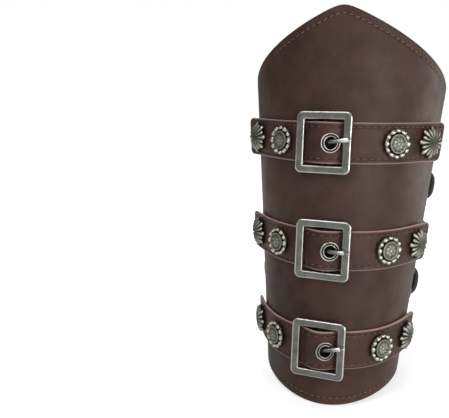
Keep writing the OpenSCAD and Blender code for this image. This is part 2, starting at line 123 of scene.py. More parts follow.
tetrahedron = np.eye(4, 3), [np.array([[0, 1, 2], [0, 3, 1], [1, 3, 2], [2, 3, 0]])]
print("first face of a tetrahedron, turned outwards:", turned_outwards(*tetrahedron)[1][0][0])


# %% From arrays to a mesh
def put_piece(name, shape, material, body="bracer", instead_of=(), sharp=None,
              corner_map=None):
    """Makes an object of (points in mm, faces, point values) that rides on a body of the frame.
    Edges that bend by more than 'sharp' degrees are shaded sharp."""
    points, faces, values = shape
    corners = np.concatenate([f.ravel() for f in faces]).astype(np.int32)
    sizes = np.concatenate([np.full(len(f), f.shape[1]) for f in faces])
    mesh = bpy.data.meshes.new(name)
    mesh.vertices.add(len(points))
    mesh.vertices.foreach_set("co", (points * MM).astype(np.float32).ravel())
    mesh.loops.add(len(corners))
    mesh.loops.foreach_set("vertex_index", corners)
    mesh.polygons.add(len(sizes))
    starts = np.concatenate([[0], np.cumsum(sizes)[:-1]]).astype(np.int32)
    mesh.polygons.foreach_set("loop_start", starts)
    mesh.polygons.foreach_set("use_smooth", np.ones(len(sizes), dtype=bool))
    for key, value in values.items():
        layer = mesh.attributes.new(key, "FLOAT", "POINT")
        layer.data.foreach_set("value", value.astype(np.float32))
    if corner_map is not None:
        layer = mesh.uv_layers.new(name="UVMap")
        layer.data.foreach_set("uv", corner_map.astype(np.float32).ravel())
    mesh.update(calc_edges=True)
    if sharp:
        mesh.set_sharp_from_angle(angle=np.radians(sharp))
    mesh.materials.append(material)
    piece = bpy.data.objects.new(name, mesh)
    bpy.context.scene.collection.objects.link(piece)
    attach(piece, body)
    if instead_of:
        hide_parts(*instead_of)
    print(name, "-", len(points), "points,", int((sizes - 2).sum()), "triangles")


# %% [markdown]
# ## Shapes that come back again and again
# Eyelets, rivets and medals are turned shapes, and laces, threads and prongs are tubes along a
# path. Blender's Screw modifier and curve bevels make both, but here a lathe and a tube are each a
# few lines of numpy, and they can carry a value per point that later drives wear and dirt.

# %% Lathe
def closed_ends(grid, ends):
    """A grid of circles, closed at each end by a fan of triangles to one end point."""
    rows, sides = grid.shape[:2]
    points = np.concatenate([grid.reshape(-1, 3), ends])
    here, there = np.arange(sides), (np.arange(sides) + 1) % sides
    last = (rows - 1) * sides
    faces = [grid_faces(rows, sides, round_cols=True),
             np.stack([there, here, 0 * here + len(points) - 2], -1),
             np.stack([here + last, there + last, 0 * here + len(points) - 1], -1)]
    return turned_outwards(points, faces)


def lathe(radii, heights, sides, ring=False):
    """Each profile point (radius, height) runs once round the Z axis. A ring's profile is a closed
    loop; any other profile starts and ends on the axis, where its points become one."""
    angle = np.arange(sides) * 2 * np.pi / sides
    inner = slice(None) if ring else slice(1, -1)
    r, h = np.asarray(radii, float)[inner, None], np.asarray(heights, float)[inner, None]
    grid = np.stack([r * np.cos(angle), r * np.sin(angle), h + 0 * angle], -1)
    if ring:
        faces = [grid_faces(len(r), sides, round_rows=True, round_cols=True)]
        return turned_outwards(grid.reshape(-1, 3), faces)
    return closed_ends(grid, [[0, 0, heights[0]], [0, 0, heights[-1]]])


print("a lathed cone of 12 sides has", len(lathe([0, 1, 0], [0, 0, 1], 12)[0]), "points")


# %% Tube
def unit(v):
    """Vectors along the last axis, made one long."""
    return v / np.linalg.norm(v, axis=-1, keepdims=True)


def tube(path, radii, sides, reference=(0.0, 1.0, 0.0)):
    """Circles of the given radii, square to the path: with the path's direction d and a reference
    vector r, each circle is spanned by d x r and by that vector x d. Its ends close in a point."""
    path = np.asarray(path, float)
    radii = np.broadcast_to(radii, len(path))
    ahead = unit(np.gradient(path, axis=0))
    side = unit(np.cross(ahead, np.asarray(reference)))
    lift = np.cross(side, ahead)
    angle = np.arange(sides) * 2 * np.pi / sides
    ring = np.cos(angle)[:, None] * side[:, None] + np.sin(angle)[:, None] * lift[:, None]
    return closed_ends(path[:, None] + radii[:, None, None] * ring, path[[0, -1]])


print("a straight tube of 8 sides has", len(tube([[0, 0, 0], [9, 0, 0]], 1.0, 8)[0]), "points")


# %% Paths, rounded and evenly stepped
def rounded(path, times):
    """Corner cutting: every leg of a path is replaced by its points at a quarter and at three
    quarters, again and again, which rounds the corners and keeps both ends."""
    path = np.asarray(path, float)
    for _ in range(times):
        near = 0.75 * path[:-1] + 0.25 * path[1:]
        far = 0.25 * path[:-1] + 0.75 * path[1:]
        cut = np.stack([near, far], 1).reshape(-1, path.shape[1])
        path = np.concatenate([path[:1], cut, path[-1:]])
    return path


def along(path):
    """How far each point of a path lies from its start, measured along it."""
    return np.concatenate([[0], np.cumsum(np.linalg.norm(np.diff(path, axis=0), axis=1))])


def evenly(path, step):
    """The path's points, taken again at even steps along its length."""
    so_far = along(path)
    wanted = np.linspace(0, so_far[-1], int(round(so_far[-1] / step)) + 1)
    return np.stack([np.interp(wanted, so_far, path[:, k]) for k in range(path.shape[1])], -1)


corner_path = rounded([[0, 0], [8, 0], [8, 8]], 3)
print("a corner of 8 and 8 mm, rounded, is", along(corner_path)[-1].round(2), "mm long")

# %% [markdown]
# ## The shell's own coordinates
# A forearm is close to a cone with an oval section, and everything on the bracer lies on that cone.
# A place on it is given by an angle from the front, a height, and how far it stands off the
# leather, which is simpler than modelling flat and bending with a modifier. These are the formulas
# that the CAD model uses.

# %% Sizes of the cone
PANEL_H, ELBOW_W, WRIST_W = 249.0, 141.5, 91.0
SECTION_RATIO, WRAP = 1.25, 108.0
GROWTH = (ELBOW_W - WRIST_W) / PANEL_H / 2
FRONT_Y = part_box("outer_panel")[0][1] / MM

whole_degrees = np.arange(181)
half_degrees = np.radians(np.arange(180) + 0.5)
steps = np.hypot(np.cos(half_degrees), SECTION_RATIO * np.sin(half_degrees)) * np.pi / 180
arc_lengths = np.concatenate([[0], np.cumsum(steps)])
print("front of the leather at y =", round(FRONT_Y, 3), "mm")


# %% Lengths and angles round the section
def half_w(z):
    """Half the shell's width, which grows evenly with height."""
    return WRIST_W / 2 + GROWTH * z


def arc_at(t):
    """Length of the section, for a half width of 1, from the front to the angle t in degrees."""
    return np.sign(t) * np.interp(np.abs(t), whole_degrees, arc_lengths)


def edge_s(z):
    """Length of leather from the front to the lacing edge at height z."""
    return arc_at(WRAP) * half_w(z)


def deg_at(s, z):
    """The angle at which s millimetres of leather have been passed at height z."""
    return np.sign(s) * np.interp(np.abs(s) / half_w(z), arc_lengths, whole_degrees)


print("at mid height the leather is", round(float(2 * edge_s(PANEL_H / 2)), 1), "mm wide")


# %% Places on the leather
def directions(t, z):
    """Along the section, up the leather and outwards, as unit vectors."""
    a = np.radians(t) + 0 * z
    zero = 0 * a
    across = np.stack([np.cos(a), SECTION_RATIO * np.sin(a), zero], -1)
    rising = np.stack([GROWTH * np.sin(a), GROWTH * SECTION_RATIO * (1 - np.cos(a)), zero + 1], -1)
    out = unit(np.cross(across, rising))
    across = unit(across)
    return across, np.cross(out, across), out


def skin(t, z, n=0.0):
    """The oval cone's point at angle t and height z, moved n outwards."""
    a = np.radians(t) + 0 * z
    w = half_w(z)
    place = np.stack([w * np.sin(a), w * SECTION_RATIO * (1 - np.cos(a)) + FRONT_Y, z + 0 * a], -1)
    return place + np.asarray(n + 0 * a)[..., None] * directions(t, z)[2]


def on_skin(points, t, z, n=0.0):
    """Local points (along, up, out) set down on the shell at one place."""
    across, rising, out = directions(t, z)
    return skin(t, z, n) + points @ np.stack([across, rising, out])


print("a lacing edge ends at", skin(WRAP, PANEL_H / 2).round(1), "at mid height")

# %% [markdown]
# ## Node helpers
# Materials are built as node trees in code, so that every setting can be read. They could be wired
# by hand in the shader editor, but code repeats the same recipe for five metals without a slip. A
# few helpers keep it short: one adds a node with its settings and inputs, some wrap the nodes that
# come back most, and the last ones start a group with named sockets, and a material.

# %% Adding nodes
def add(tree, kind, inputs=None, **settings):
    """Adds a node, sets its options, and links or sets each of its inputs."""
    made = tree.nodes.new(kind)
    for key, value in settings.items():
        setattr(made, key, value)
    for key, value in (inputs or {}).items():
        if isinstance(value, bpy.types.NodeSocket):
            tree.links.new(value, made.inputs[key])
        else:
            made.inputs[key].default_value = value
    return made


def sums(tree, operation, a, b=0.0, clamp=False):
    """One Math node's result."""
    made = add(tree, "ShaderNodeMath", {0: a, 1: b}, operation=operation, use_clamp=clamp)
    return made.outputs[0]


def weighted(tree, a, b, share):
    """Two values added up: a share of the first and the rest of the second."""
    return sums(tree, "ADD", sums(tree, "MULTIPLY", a, share), sums(tree, "MULTIPLY", b, 1 - share))


def between(tree, value, low, high, to_low=0.0, to_high=1.0):
    """A value's range spread over another range and held inside it."""
    ranges = {"From Min": low, "From Max": high, "To Min": to_low, "To Max": to_high}
    return add(tree, "ShaderNodeMapRange", {"Value": value, **ranges}).outputs[0]


def blended(tree, amount, a, b, how="MIX"):
    """Two colours mixed by an amount; inputs 6 and 7 and output 2 are the node's colour sockets."""
    made = add(tree, "ShaderNodeMix", {0: amount, 6: a, 7: b}, data_type="RGBA", blend_type=how)
    return made.outputs[2]


def noise(tree, vector, scale, detail=4.0, roughness=0.5, distortion=0.0):
    """One Noise Texture's value."""
    settings = {"Scale": scale, "Detail": detail, "Roughness": roughness, "Distortion": distortion}
    return add(tree, "ShaderNodeTexNoise", {"Vector": vector, **settings}).outputs[0]


trial = bpy.data.node_groups.new("trial", "ShaderNodeTree")
print("a range spread over another puts out:", between(trial, 0.5, 0.0, 1.0).name)


# %% Where a point lies, and its wear
def object_place(tree):
    """Where a point lies on the object, in metres."""
    return add(tree, "ShaderNodeTexCoord").outputs["Object"]


def attribute(tree, name):
    """The value that a mesh carries under this name."""
    return add(tree, "ShaderNodeAttribute", attribute_name=name).outputs["Fac"]


def bumped(tree, shader, height, depth):
    """Tilts the shader's normals as if the height, from 0 to 1, were 'depth' millimetres."""
    bump = add(tree, "ShaderNodeBump", {"Strength": 1.0, "Distance": depth * MM, "Height": height})
    tree.links.new(bump.outputs[0], shader.inputs["Normal"])


print("a place is a", object_place(trial).type, "and wear is a", attribute(trial, "edge").type)
bpy.data.node_groups.remove(trial)


# %% Groups, materials and colours
def new_group(name, inputs, outputs):
    """A shader node group that takes a vector and the named numbers, each with its usual value,
    and puts out the named numbers."""
    tree = bpy.data.node_groups.new(name, "ShaderNodeTree")
    tree.interface.new_socket(name="Vector", in_out="INPUT", socket_type="NodeSocketVector")
    for key, usual in inputs.items():
        socket = tree.interface.new_socket(name=key, in_out="INPUT", socket_type="NodeSocketFloat")
        socket.default_value = usual
    for key in outputs:
        tree.interface.new_socket(name=key, in_out="OUTPUT", socket_type="NodeSocketFloat")
    given, result = tree.nodes.new("NodeGroupInput"), tree.nodes.new("NodeGroupOutput")
    return tree, given.outputs, result.inputs


def use_group(tree, group, inputs):
    """Places a group in a tree."""
    return add(tree, "ShaderNodeGroup", inputs, node_tree=group).outputs


def new_material(name):
    """A material with its tree and its Principled shader."""
    material = bpy.data.materials.new(name)
    material.use_nodes = True
    return material, material.node_tree, material.node_tree.nodes["Principled BSDF"]


def rgb(r, g, b):
    """A colour as a screen shows it, 0 to 255, made linear for the shader."""
    c = np.array([r, g, b]) / 255
    return (*np.where(c < 0.04045, c / 12.92, ((c + 0.055) / 1.055) ** 2.4), 1.0)


print("mid grey on screen is", rgb(128, 128, 128)[0].round(3), "for the shader")

# %% [markdown]
# ## Leather grain
# Smooth cowhide that has been dyed and waxed shows three things: broad soft patches where the dye
# took differently, a fine net of creases between tiny raised cells, and scattered pores. An image
# could hold all that, but noise and cell textures do it at any closeness and need no unwrapping.
# It is one group, because the shell, the straps and the lining share it at different strengths.

# %% Group: leather grain
leather_grain, given, result = new_group(
    "leather_grain", {"Patch scale": 16.0, "Cell scale": 900.0},
    ["Patches", "Streaks", "Height", "Creases"])
place, patch_scale = given["Vector"], given["Patch scale"]
broad = noise(leather_grain, place, patch_scale, 3.0, 0.55, 0.6)
blotches = noise(leather_grain, place, sums(leather_grain, "MULTIPLY", patch_scale, 4.5), 4.0, 0.6)
patches = between(leather_grain, weighted(leather_grain, broad, blotches, 0.6), 0.38, 0.62)
tall = add(leather_grain, "ShaderNodeMapping", {"Vector": place, "Scale": (1.0, 1.0, 0.16)})
streaks = between(leather_grain, noise(leather_grain, tall.outputs[0], 55.0, 5.0, 0.6), 0.35, 0.7)
cells = add(leather_grain, "ShaderNodeTexVoronoi", {"Vector": place, "Scale": given["Cell scale"]},
            feature="DISTANCE_TO_EDGE")
creases = between(leather_grain, cells.outputs["Distance"], 0.0, 0.22)
height = weighted(leather_grain, creases, noise(leather_grain, place, 2600.0, 2.0), 0.75)
for key, value in (("Patches", patches), ("Streaks", streaks), ("Height", height),
                   ("Creases", creases)):
    leather_grain.links.new(value, result[key])
print("leather_grain puts out", [s.name for s in result if s.name])

# %% [markdown]
# ## Worn edges, tarnish, painted highlight and painted shade
# Leather pales or polishes where it is rubbed, and silver plate keeps its shine on the raised
# places while black tarnish stays in the hollows. Blender can guess both from the mesh's curvature,
# but only in its own renderer and only on fine meshes. Here every surface knows from its formula
# how near an edge or how deep a point is, and the groups only break that value up with noise. The
# same masks also paint light: the straps' pale edge line and the buckles' bright bevels are partly
# a painted highlight, the flower petals' bright tops are a painted highlight, and their dark sides
# and middles are painted shade.

# %% Groups: edge wear and highlight, tarnish and shade
edge_wear_and_highlight, given, result = new_group("edge_wear_and_highlight", {"Edge": 0.0, "Break up": 0.5}, ["Mask"])
rough_noise = noise(edge_wear_and_highlight, given["Vector"], 420.0, 4.0, 0.6)
loss = sums(edge_wear_and_highlight, "MULTIPLY", rough_noise, given["Break up"])
edge_wear_and_highlight.links.new(sums(edge_wear_and_highlight, "SUBTRACT", given["Edge"], loss, clamp=True), result["Mask"])

tarnish_and_shade, given, result = new_group("tarnish_and_shade", {"Hollow_and_shade": 0.0}, ["Black", "Cloud", "Height"])
cloud = between(tarnish_and_shade, noise(tarnish_and_shade, given["Vector"], 170.0, 5.0, 0.6, 0.4), 0.3, 0.7)
specks = between(tarnish_and_shade, noise(tarnish_and_shade, given["Vector"], 900.0, 2.0, 0.5), 0.56, 0.7)
grime = sums(tarnish_and_shade, "MULTIPLY", specks, 0.22)
black = sums(tarnish_and_shade, "ADD", sums(tarnish_and_shade, "MULTIPLY", given["Hollow_and_shade"], 1.15), grime, clamp=True)
dents = noise(tarnish_and_shade, given["Vector"], 520.0, 3.0, 0.5)
for key, value in (("Black", black), ("Cloud", cloud), ("Height", dents)):
    tarnish_and_shade.links.new(value, result[key])
print("groups:", [g.name for g in bpy.data.node_groups])


# %% [markdown]
# ## Leather finishes
# The shell is matte dark brown, the straps are a redder brown with paler cut edges, and the lining
# is a rough, lighter split leather. Each could be painted on its own, but all three are one recipe:
# two tones mixed by the patches, a third by the streaks, another colour along the cut edges, a
# darker one in the seam's groove, and the grain as a bump of about a tenth of a millimetre or less.
# The straps' pale edge colour is partly their finished edge and partly a painted highlight where
# the rounded edge catches the light, and the darker groove is painted shade.

# %% Leather material
def leather(name, dark, light, streak, edge_colour, roughness, grain_mm, patch_scale=16.0,
            cell_scale=900.0, edge_break=0.35):
    """Dyed leather with its own tones, edge colour and depth of grain."""
    material, tree, shader = new_material(name)
    place = object_place(tree)
    grain = use_group(tree, leather_grain,
                      {"Vector": place, "Patch scale": patch_scale, "Cell scale": cell_scale})
    colour = blended(tree, grain["Patches"], dark, light)
    colour = blended(tree, sums(tree, "MULTIPLY", grain["Streaks"], 0.3), colour, streak)
    pit = between(tree, grain["Creases"], 0.0, 1.0, 0.8, 1.0)
    pit_grey = add(tree, "ShaderNodeCombineColor", {0: pit, 1: pit, 2: pit}).outputs[0]
    colour = blended(tree, 1.0, colour, pit_grey, "MULTIPLY")
    edge_band = use_group(tree, edge_wear_and_highlight, {"Vector": place, "Edge": attribute(tree, "edge"),
                                       "Break up": edge_break})["Mask"]
    # Edge colour along the outline: the cut edge's own colour, and on the straps also a painted
    # highlight.
    colour = blended(tree, edge_band, colour, edge_colour)
    # Darkens the seam's pressed groove: painted shade in the recess.
    seam = sums(tree, "MULTIPLY", attribute(tree, "seam"), 0.7)
    seam_shade_colour = tuple(0.35 * c for c in dark[:3]) + (1.0,)
    tree.links.new(blended(tree, seam, colour, seam_shade_colour), shader.inputs["Base Color"])
    tree.links.new(between(tree, grain["Patches"], 0.0, 1.0, roughness + 0.06, roughness - 0.06),
                   shader.inputs["Roughness"])
    bumped(tree, shader, grain["Height"], grain_mm)
    for key, value in (("Specular IOR Level", 0.24), ("Specular Tint", (1.0, 0.97, 0.88, 1.0)),
                       ("Sheen Weight", 0.06), ("Sheen Roughness", 0.2),
                       ("Sheen Tint", (0.88, 0.86, 0.72, 1.0))):
        shader.inputs[key].default_value = value
    return material


shell_leather = leather(
    "shell_leather", dark=rgb(44, 26, 22), light=rgb(68, 45, 37), streak=rgb(60, 44, 36),
    edge_colour=rgb(38, 24, 20), roughness=0.55, grain_mm=0.05)
# The straps' pale edge colour is partly their finished edge and partly a painted highlight.
strap_leather = leather(
    "strap_leather", dark=rgb(47, 26, 22), light=rgb(69, 43, 36), streak=rgb(63, 44, 38),
    edge_colour=rgb(174, 144, 135), roughness=0.52, grain_mm=0.05, patch_scale=26.0,
    edge_break=0.15)
lining_leather = leather(
    "lining_leather", dark=rgb(60, 44, 36), light=rgb(86, 65, 53), streak=rgb(94, 74, 61),
    edge_colour=rgb(70, 52, 43), roughness=0.88, grain_mm=0.14, patch_scale=30.0,
    cell_scale=1500.0)
print("leathers:", shell_leather.name, strap_leather.name, lining_leather.name)


# %% [markdown]
# ## Metal finishes
# The fittings are cast, plated in silver, dipped black and rubbed back. So the flat faces are a
# soft grey with a hint of green, the rubbed edges are bright, and the hollows stay black and dull.
# On the buckles' bevels the bright edge is also a painted highlight, and on the flower petals the
# bright tops are a painted highlight and the dark sides painted shade.
# A picture could be wrapped round each piece, but four colours mixed by the two masks give the same
# on every shape; the metal itself is one Principled shader. The eyelets are darker than the
# buckles, and the bars and screws that hardly show are plain blackened or dull steel.

# %% Antique silver material
def silver(name, face, cloud, bright, black, roughness):
    """Plated metal: cloudy face, bright where 'edge' is high, black where 'hollow' is high, with
    dents of 0.03 mm."""
    material, tree, shader = new_material(name)
    place = object_place(tree)
    aged_and_shaded = use_group(tree, tarnish_and_shade, {"Vector": place, "Hollow_and_shade": attribute(tree, "hollow_and_shade")})
    rubbed_and_highlit = use_group(tree, edge_wear_and_highlight, {"Vector": place, "Edge": attribute(tree, "edge"),
                                         "Break up": 0.3})["Mask"]
    # Face, rubbed bright and tarnish black; on the buckle bevels and the petals the bright is also
    # painted highlight, and on the petals the black is also painted shade.
    colour = blended(tree, aged_and_shaded["Cloud"], face, cloud)
    colour = blended(tree, rubbed_and_highlit, colour, bright)
    colour = blended(tree, aged_and_shaded["Black"], colour, black)
    tree.links.new(colour, shader.inputs["Base Color"])
    dull = between(tree, aged_and_shaded["Black"], 0.0, 1.0, roughness, 0.75)
    tree.links.new(sums(tree, "SUBTRACT", dull, sums(tree, "MULTIPLY", rubbed_and_highlit, 0.12), clamp=True),
                   shader.inputs["Roughness"])
    tree.links.new(between(tree, aged_and_shaded["Black"], 0.3, 1.0, 1.0, 0.35), shader.inputs["Metallic"])
    bumped(tree, shader, aged_and_shaded["Height"], 0.03)
    return material


buckle_silver = silver("buckle_silver", face=rgb(88, 90, 85), cloud=rgb(117, 118, 112),
                       bright=rgb(208, 207, 200), black=rgb(20, 20, 18), roughness=0.42)
concho_silver = silver("concho_silver", face=rgb(92, 94, 84), cloud=rgb(120, 120, 108),
                       bright=rgb(184, 180, 168), black=rgb(9, 9, 7), roughness=0.42)
eyelet_steel = silver("eyelet_steel", face=rgb(62, 61, 57), cloud=rgb(82, 81, 76),
                      bright=rgb(150, 147, 140), black=rgb(12, 12, 11), roughness=0.42)
dark_steel = silver("dark_steel", face=rgb(92, 94, 94), cloud=rgb(118, 120, 118),
                    bright=rgb(190, 190, 186), black=rgb(24, 24, 24), roughness=0.45)
black_steel = silver("black_steel", face=rgb(34, 33, 31), cloud=rgb(46, 44, 42),
                     bright=rgb(80, 80, 76), black=rgb(16, 15, 14), roughness=0.55)
metals = (buckle_silver, concho_silver, eyelet_steel, dark_steel, black_steel)
print("metals:", [metal.name for metal in metals])

# %% [markdown]
# ## Thread and cord
# Waxed thread is rough and a little shiny on its high strands, and it comes out of needle holes,
# which are dark discs of painted shade. The lace is a round braid, its strands lighter on their
# crests as painted sheen and darker between them as painted shade. A plain noise in space will do
# for such thin thread, but on the lace it would slide across the bends. So the braid's two sets of
# strands are drawn from the tube's own UV map, one unit round and one unit per braid repeat along.

# %% Thread and needle holes
def waxed_thread(name, dark, light):
    """Thread whose fibres catch the light a little."""
    material, tree, shader = new_material(name)
    fibres = between(tree, noise(tree, object_place(tree), 1500.0, 3.0, 0.6), 0.3, 0.7)
    tree.links.new(blended(tree, fibres, dark, light), shader.inputs["Base Color"])
    tree.links.new(between(tree, fibres, 0.0, 1.0, 0.7, 0.5), shader.inputs["Roughness"])
    bumped(tree, shader, fibres, 0.05)
    return material


shell_thread = waxed_thread("shell_thread", rgb(84, 56, 41), rgb(130, 95, 70))
strap_thread = waxed_thread("strap_thread", rgb(72, 44, 37), rgb(108, 74, 63))

# The needle holes are dark discs: painted shade where the hole goes into the leather.
needle_hole_shade, tree, shader = new_material("needle_hole_shade")
painted_hole_shade = blended(tree, noise(tree, object_place(tree), 800.0), rgb(16, 9, 8), rgb(34, 21, 18))
tree.links.new(painted_hole_shade, shader.inputs["Base Color"])
shader.inputs["Roughness"].default_value = 0.9
print("threads and holes:", shell_thread.name, strap_thread.name, needle_hole_shade.name)

# %% Braided cord
BRAID_STRANDS, FULL_TURN = 4.0, 6.28319


def strand_wave(tree, turns):
    """How high one set of strands lies: the sine of so many full turns."""
    return sums(tree, "SINE", sums(tree, "MULTIPLY", turns, FULL_TURN))


black_cord, tree, shader = new_material("black_cord")
uv = add(tree, "ShaderNodeUVMap", uv_map="UVMap").outputs[0]
parts = add(tree, "ShaderNodeSeparateXYZ", {0: uv}).outputs
strand_round = sums(tree, "MULTIPLY", parts[0], BRAID_STRANDS)
right_hand = strand_wave(tree, sums(tree, "ADD", strand_round, parts[1]))
left_hand = strand_wave(tree, sums(tree, "SUBTRACT", strand_round, parts[1]))
over = sums(tree, "GREATER_THAN", sums(tree, "MULTIPLY", right_hand, left_hand), 0.0)
strands = add(tree, "ShaderNodeMix", {0: over, 2: sums(tree, "ABSOLUTE", right_hand),
                                      3: sums(tree, "ABSOLUTE", left_hand)}, data_type="FLOAT")
fluff = noise(tree, object_place(tree), 1800.0, 3.0)
strand_height_and_sheen = weighted(tree, strands.outputs[0], fluff, 0.8)
# Crests lighter as painted sheen, gaps between strands darker as painted shade; the same value sets
# roughness and bump.
tree.links.new(blended(tree, strand_height_and_sheen, rgb(12, 12, 12), rgb(48, 46, 45)), shader.inputs["Base Color"])
tree.links.new(between(tree, strand_height_and_sheen, 0.0, 1.0, 0.85, 0.55), shader.inputs["Roughness"])
bumped(tree, shader, strand_height_and_sheen, 0.25)
print("cord:", black_cord.name, "with", 2 * int(BRAID_STRANDS), "strands")

# %% [markdown]
# ## A sheet of leather
# A cut piece of leather is a flat outline with a thickness, a rounded edge, a groove pressed in by
# the seam, and punched holes. Solidify would give it a square edge, so both faces are worked out:
# they share the outline at mid thickness and part from it along a quarter circle. The grid is
# closer near the outline, where the edge and the groove need points, and coarse in the middle.

# %% Rows near the edge, and how far in they lie
NEAR_EDGE = np.array([0, 0.12, 0.35, 0.7, 1.1, 2.0, 3.3, 4.0, 4.4, 4.7, 4.95, 5.3, 5.9, 7.2])


def outline_of(flat):
    """The outline of a grid, once round, starting along its first row."""
    return np.concatenate([flat[0, :-1], flat[:-1, -1], flat[-1, :0:-1], flat[:0:-1, 0]])


def edge_distance(flat):
    """Distance to the outline: the shortest way to the foot of the perpendicular on any of its
    legs, worked out for the 17 outer rows and columns; points further in get a large number."""
    near, far_off = 17, 99.0
    start = outline_of(flat)
    leg = np.roll(start, -1, axis=0) - start
    length2 = np.maximum((leg ** 2).sum(-1), 1e-12)
    rows, cols = flat.shape[:2]
    i, j = np.indices((rows, cols))
    close = (np.minimum(i, rows - 1 - i) < near) | (np.minimum(j, cols - 1 - j) < near)
    points, distance = flat.reshape(-1, 2), np.full(rows * cols, far_off)
    for part in np.array_split(np.flatnonzero(close), 16):   # in parts, to spare the memory
        away = points[part, None] - start
        share = np.clip((away * leg).sum(-1) / length2, 0, 1)
        distance[part] = np.linalg.norm(away - share[..., None] * leg, axis=-1).min(1)
    return distance.reshape(rows, cols)


print("the outer", len(NEAR_EDGE), "rows lie within", NEAR_EDGE[-1], "mm of the edge")


# %% Punched holes
def punched(flat, holes):
    """Marks the grid's cells inside each hole (s, z, radius) and pulls the points round them onto
    the hole's circle."""
    flat, gone = flat.copy(), np.zeros((flat.shape[0] - 1, flat.shape[1] - 1), bool)
    halves = (slice(None, -1), slice(1, None))
    quarters = [(rows, cols) for cols in halves for rows in halves]
    for s, z, radius in holes:
        away = flat - (s, z)
        reach = np.linalg.norm(away, axis=-1)
        inside = reach < radius + 0.6
        cells = np.all([inside[quarter] for quarter in quarters], axis=0)
        in_gone, in_kept = np.zeros(inside.shape, bool), np.zeros(inside.shape, bool)
        for quarter in quarters:
            in_gone[quarter] |= cells
            in_kept[quarter] |= ~cells
        rim = in_gone & in_kept
        flat[rim] = (s, z) + away[rim] * (radius / reach[rim])[:, None]
        gone |= cells
    return flat, gone


trial = np.stack(np.meshgrid(np.arange(9.0), np.arange(9.0)), -1)
punched_cells = punched(trial, [(4.0, 4.0, 2.0)])[1]
print("a hole of 4 mm takes", int(punched_cells.sum()), "cells out of", punched_cells.size)


# %% Both faces, the groove and the holes' walls
def leather_sheet(flat, lift, thickness, edge_r, groove, groove_at, holes, edge_band_w=0.55):
    """Two faces lift(flat, n) that lie half a thickness h either side of the middle, with
    h = thickness / 2 * sqrt(1 - ((edge_r - d) / edge_r)^2) within edge_r of the outline, so they
    meet on it; the outer face sinks by groove * exp(-((d - groove_at) / 0.5)^2). Between them,
    every hole gets a wall. The value 'edge' falls off from the outline over edge_band_w."""
    distance = edge_distance(flat)
    flat, gone = punched(flat, holes)
    rows, cols = distance.shape
    short = np.clip((edge_r - distance) / edge_r, 0, 1)
    half = thickness / 2 * np.sqrt(1 - short ** 2)
    sunk = groove * np.exp(-((distance - groove_at) / 0.5) ** 2)
    outer, inner = lift(flat, half - sunk), lift(flat, -half)
    own = np.arange(rows * cols).reshape(rows, cols)
    twin = own + rows * cols
    twin[0], twin[-1], twin[:, 0], twin[:, -1] = own[0], own[-1], own[:, 0], own[:, -1]
    i, j = np.nonzero(~gone)
    cells = [np.stack([ids[i, j], ids[i, j + 1], ids[i + 1, j + 1], ids[i + 1, j]], -1)
             for ids in (own, twin)]
    faces = [cells[0], cells[1][:, ::-1]]
    i, j = np.nonzero(gone)
    for a, b, beside in (((0, 0), (0, 1), (-1, 0)), ((0, 1), (1, 1), (0, 1)),
                         ((1, 1), (1, 0), (1, 0)), ((1, 0), (0, 0), (0, -1))):
        kept = ~gone[i + beside[0], j + beside[1]]
        p, q = (i[kept] + a[0], j[kept] + a[1]), (i[kept] + b[0], j[kept] + b[1])
        faces.append(np.stack([own[p], own[q], twin[q], twin[p]], -1))
    points = np.concatenate([outer.reshape(-1, 3), inner.reshape(-1, 3)])
    edge = np.tile(np.exp(-(distance / edge_band_w) ** 2).ravel(), 2)
    seam = np.concatenate([np.exp(-((distance - groove_at) / 0.55) ** 2).ravel() * (groove > 0),
                           np.zeros(rows * cols)])
    used = np.unique(np.concatenate([f.ravel() for f in faces]))
    number = np.zeros(len(points), dtype=int)
    number[used] = np.arange(len(used))
    points, faces = turned_outwards(points[used], [number[f] for f in faces])
    return points, faces, {"edge": edge[used], "seam": seam[used]}


def level_lift(flat, n):
    """A level table: the height is n itself."""
    return np.concatenate([flat, n[..., None]], -1)


trial = leather_sheet(trial, level_lift, thickness=1.0, edge_r=0.5, groove=0.0, groove_at=1.0,
                      holes=[(4.0, 4.0, 2.0)])
print("a trial sheet with one hole has", len(trial[0]), "points")


# %% [markdown]
# ## Stitches
# Hand stitches stand a little proud of the leather, each one dipping into a needle hole at both
# ends. A particle system or an array along a curve could lay them, but copying one small grain by
# array arithmetic is exact and cheap. There are hundreds, so each has only thirty faces.

# %% One stitch, and many
def inset_path(outline, distance, pitch):
    """The outline moved inwards by a distance along its normals, then cut into steps of one
    pitch."""
    closed = evenly(np.concatenate([outline, outline[:1]]), 0.4)[:-1]
    ahead = unit(np.roll(closed, -1, axis=0) - np.roll(closed, 1, axis=0))
    moved = closed + distance * np.stack([-ahead[:, 1], ahead[:, 0]], -1)
    length = np.linalg.norm(np.diff(moved, axis=0), axis=1).sum()
    return evenly(np.concatenate([moved, moved[:1]]), length / round(length / pitch))[:-1]


def grains(template, centres, ahead, out):
    """Copies of a small body (x ahead, y aside, z out) at every centre, as one body."""
    axes = np.stack([ahead, np.cross(out, ahead), out], 1)
    points = centres[:, None] + np.einsum("pk,nkc->npc", template[0], axes)
    shift = (np.arange(len(centres)) * len(template[0]))[:, None, None]
    faces = [(f[None] + shift).reshape(-1, f.shape[1]) for f in template[1]]
    return points.reshape(-1, 3), faces, {}


STITCH_SLANT, STITCH_RISE, HOLE_R = np.radians(5.0), 0.12, 0.34


def stitch_shape(length, width):
    """A lathed grain laid along x; at a share x / length from its middle it is bowed down by
    0.9 * width * (x / length)^2."""
    points, faces = lathe([0, 0.62, 1, 1, 0.62, 0], [-0.5, -0.42, -0.2, 0.2, 0.42, 0.5], 6)
    x = points[:, 2] * length
    up = points[:, 1] * width / 2 + STITCH_RISE - 0.9 * (x / length) ** 2 * width
    return np.stack([x, points[:, 0] * width / 2, up], -1), faces


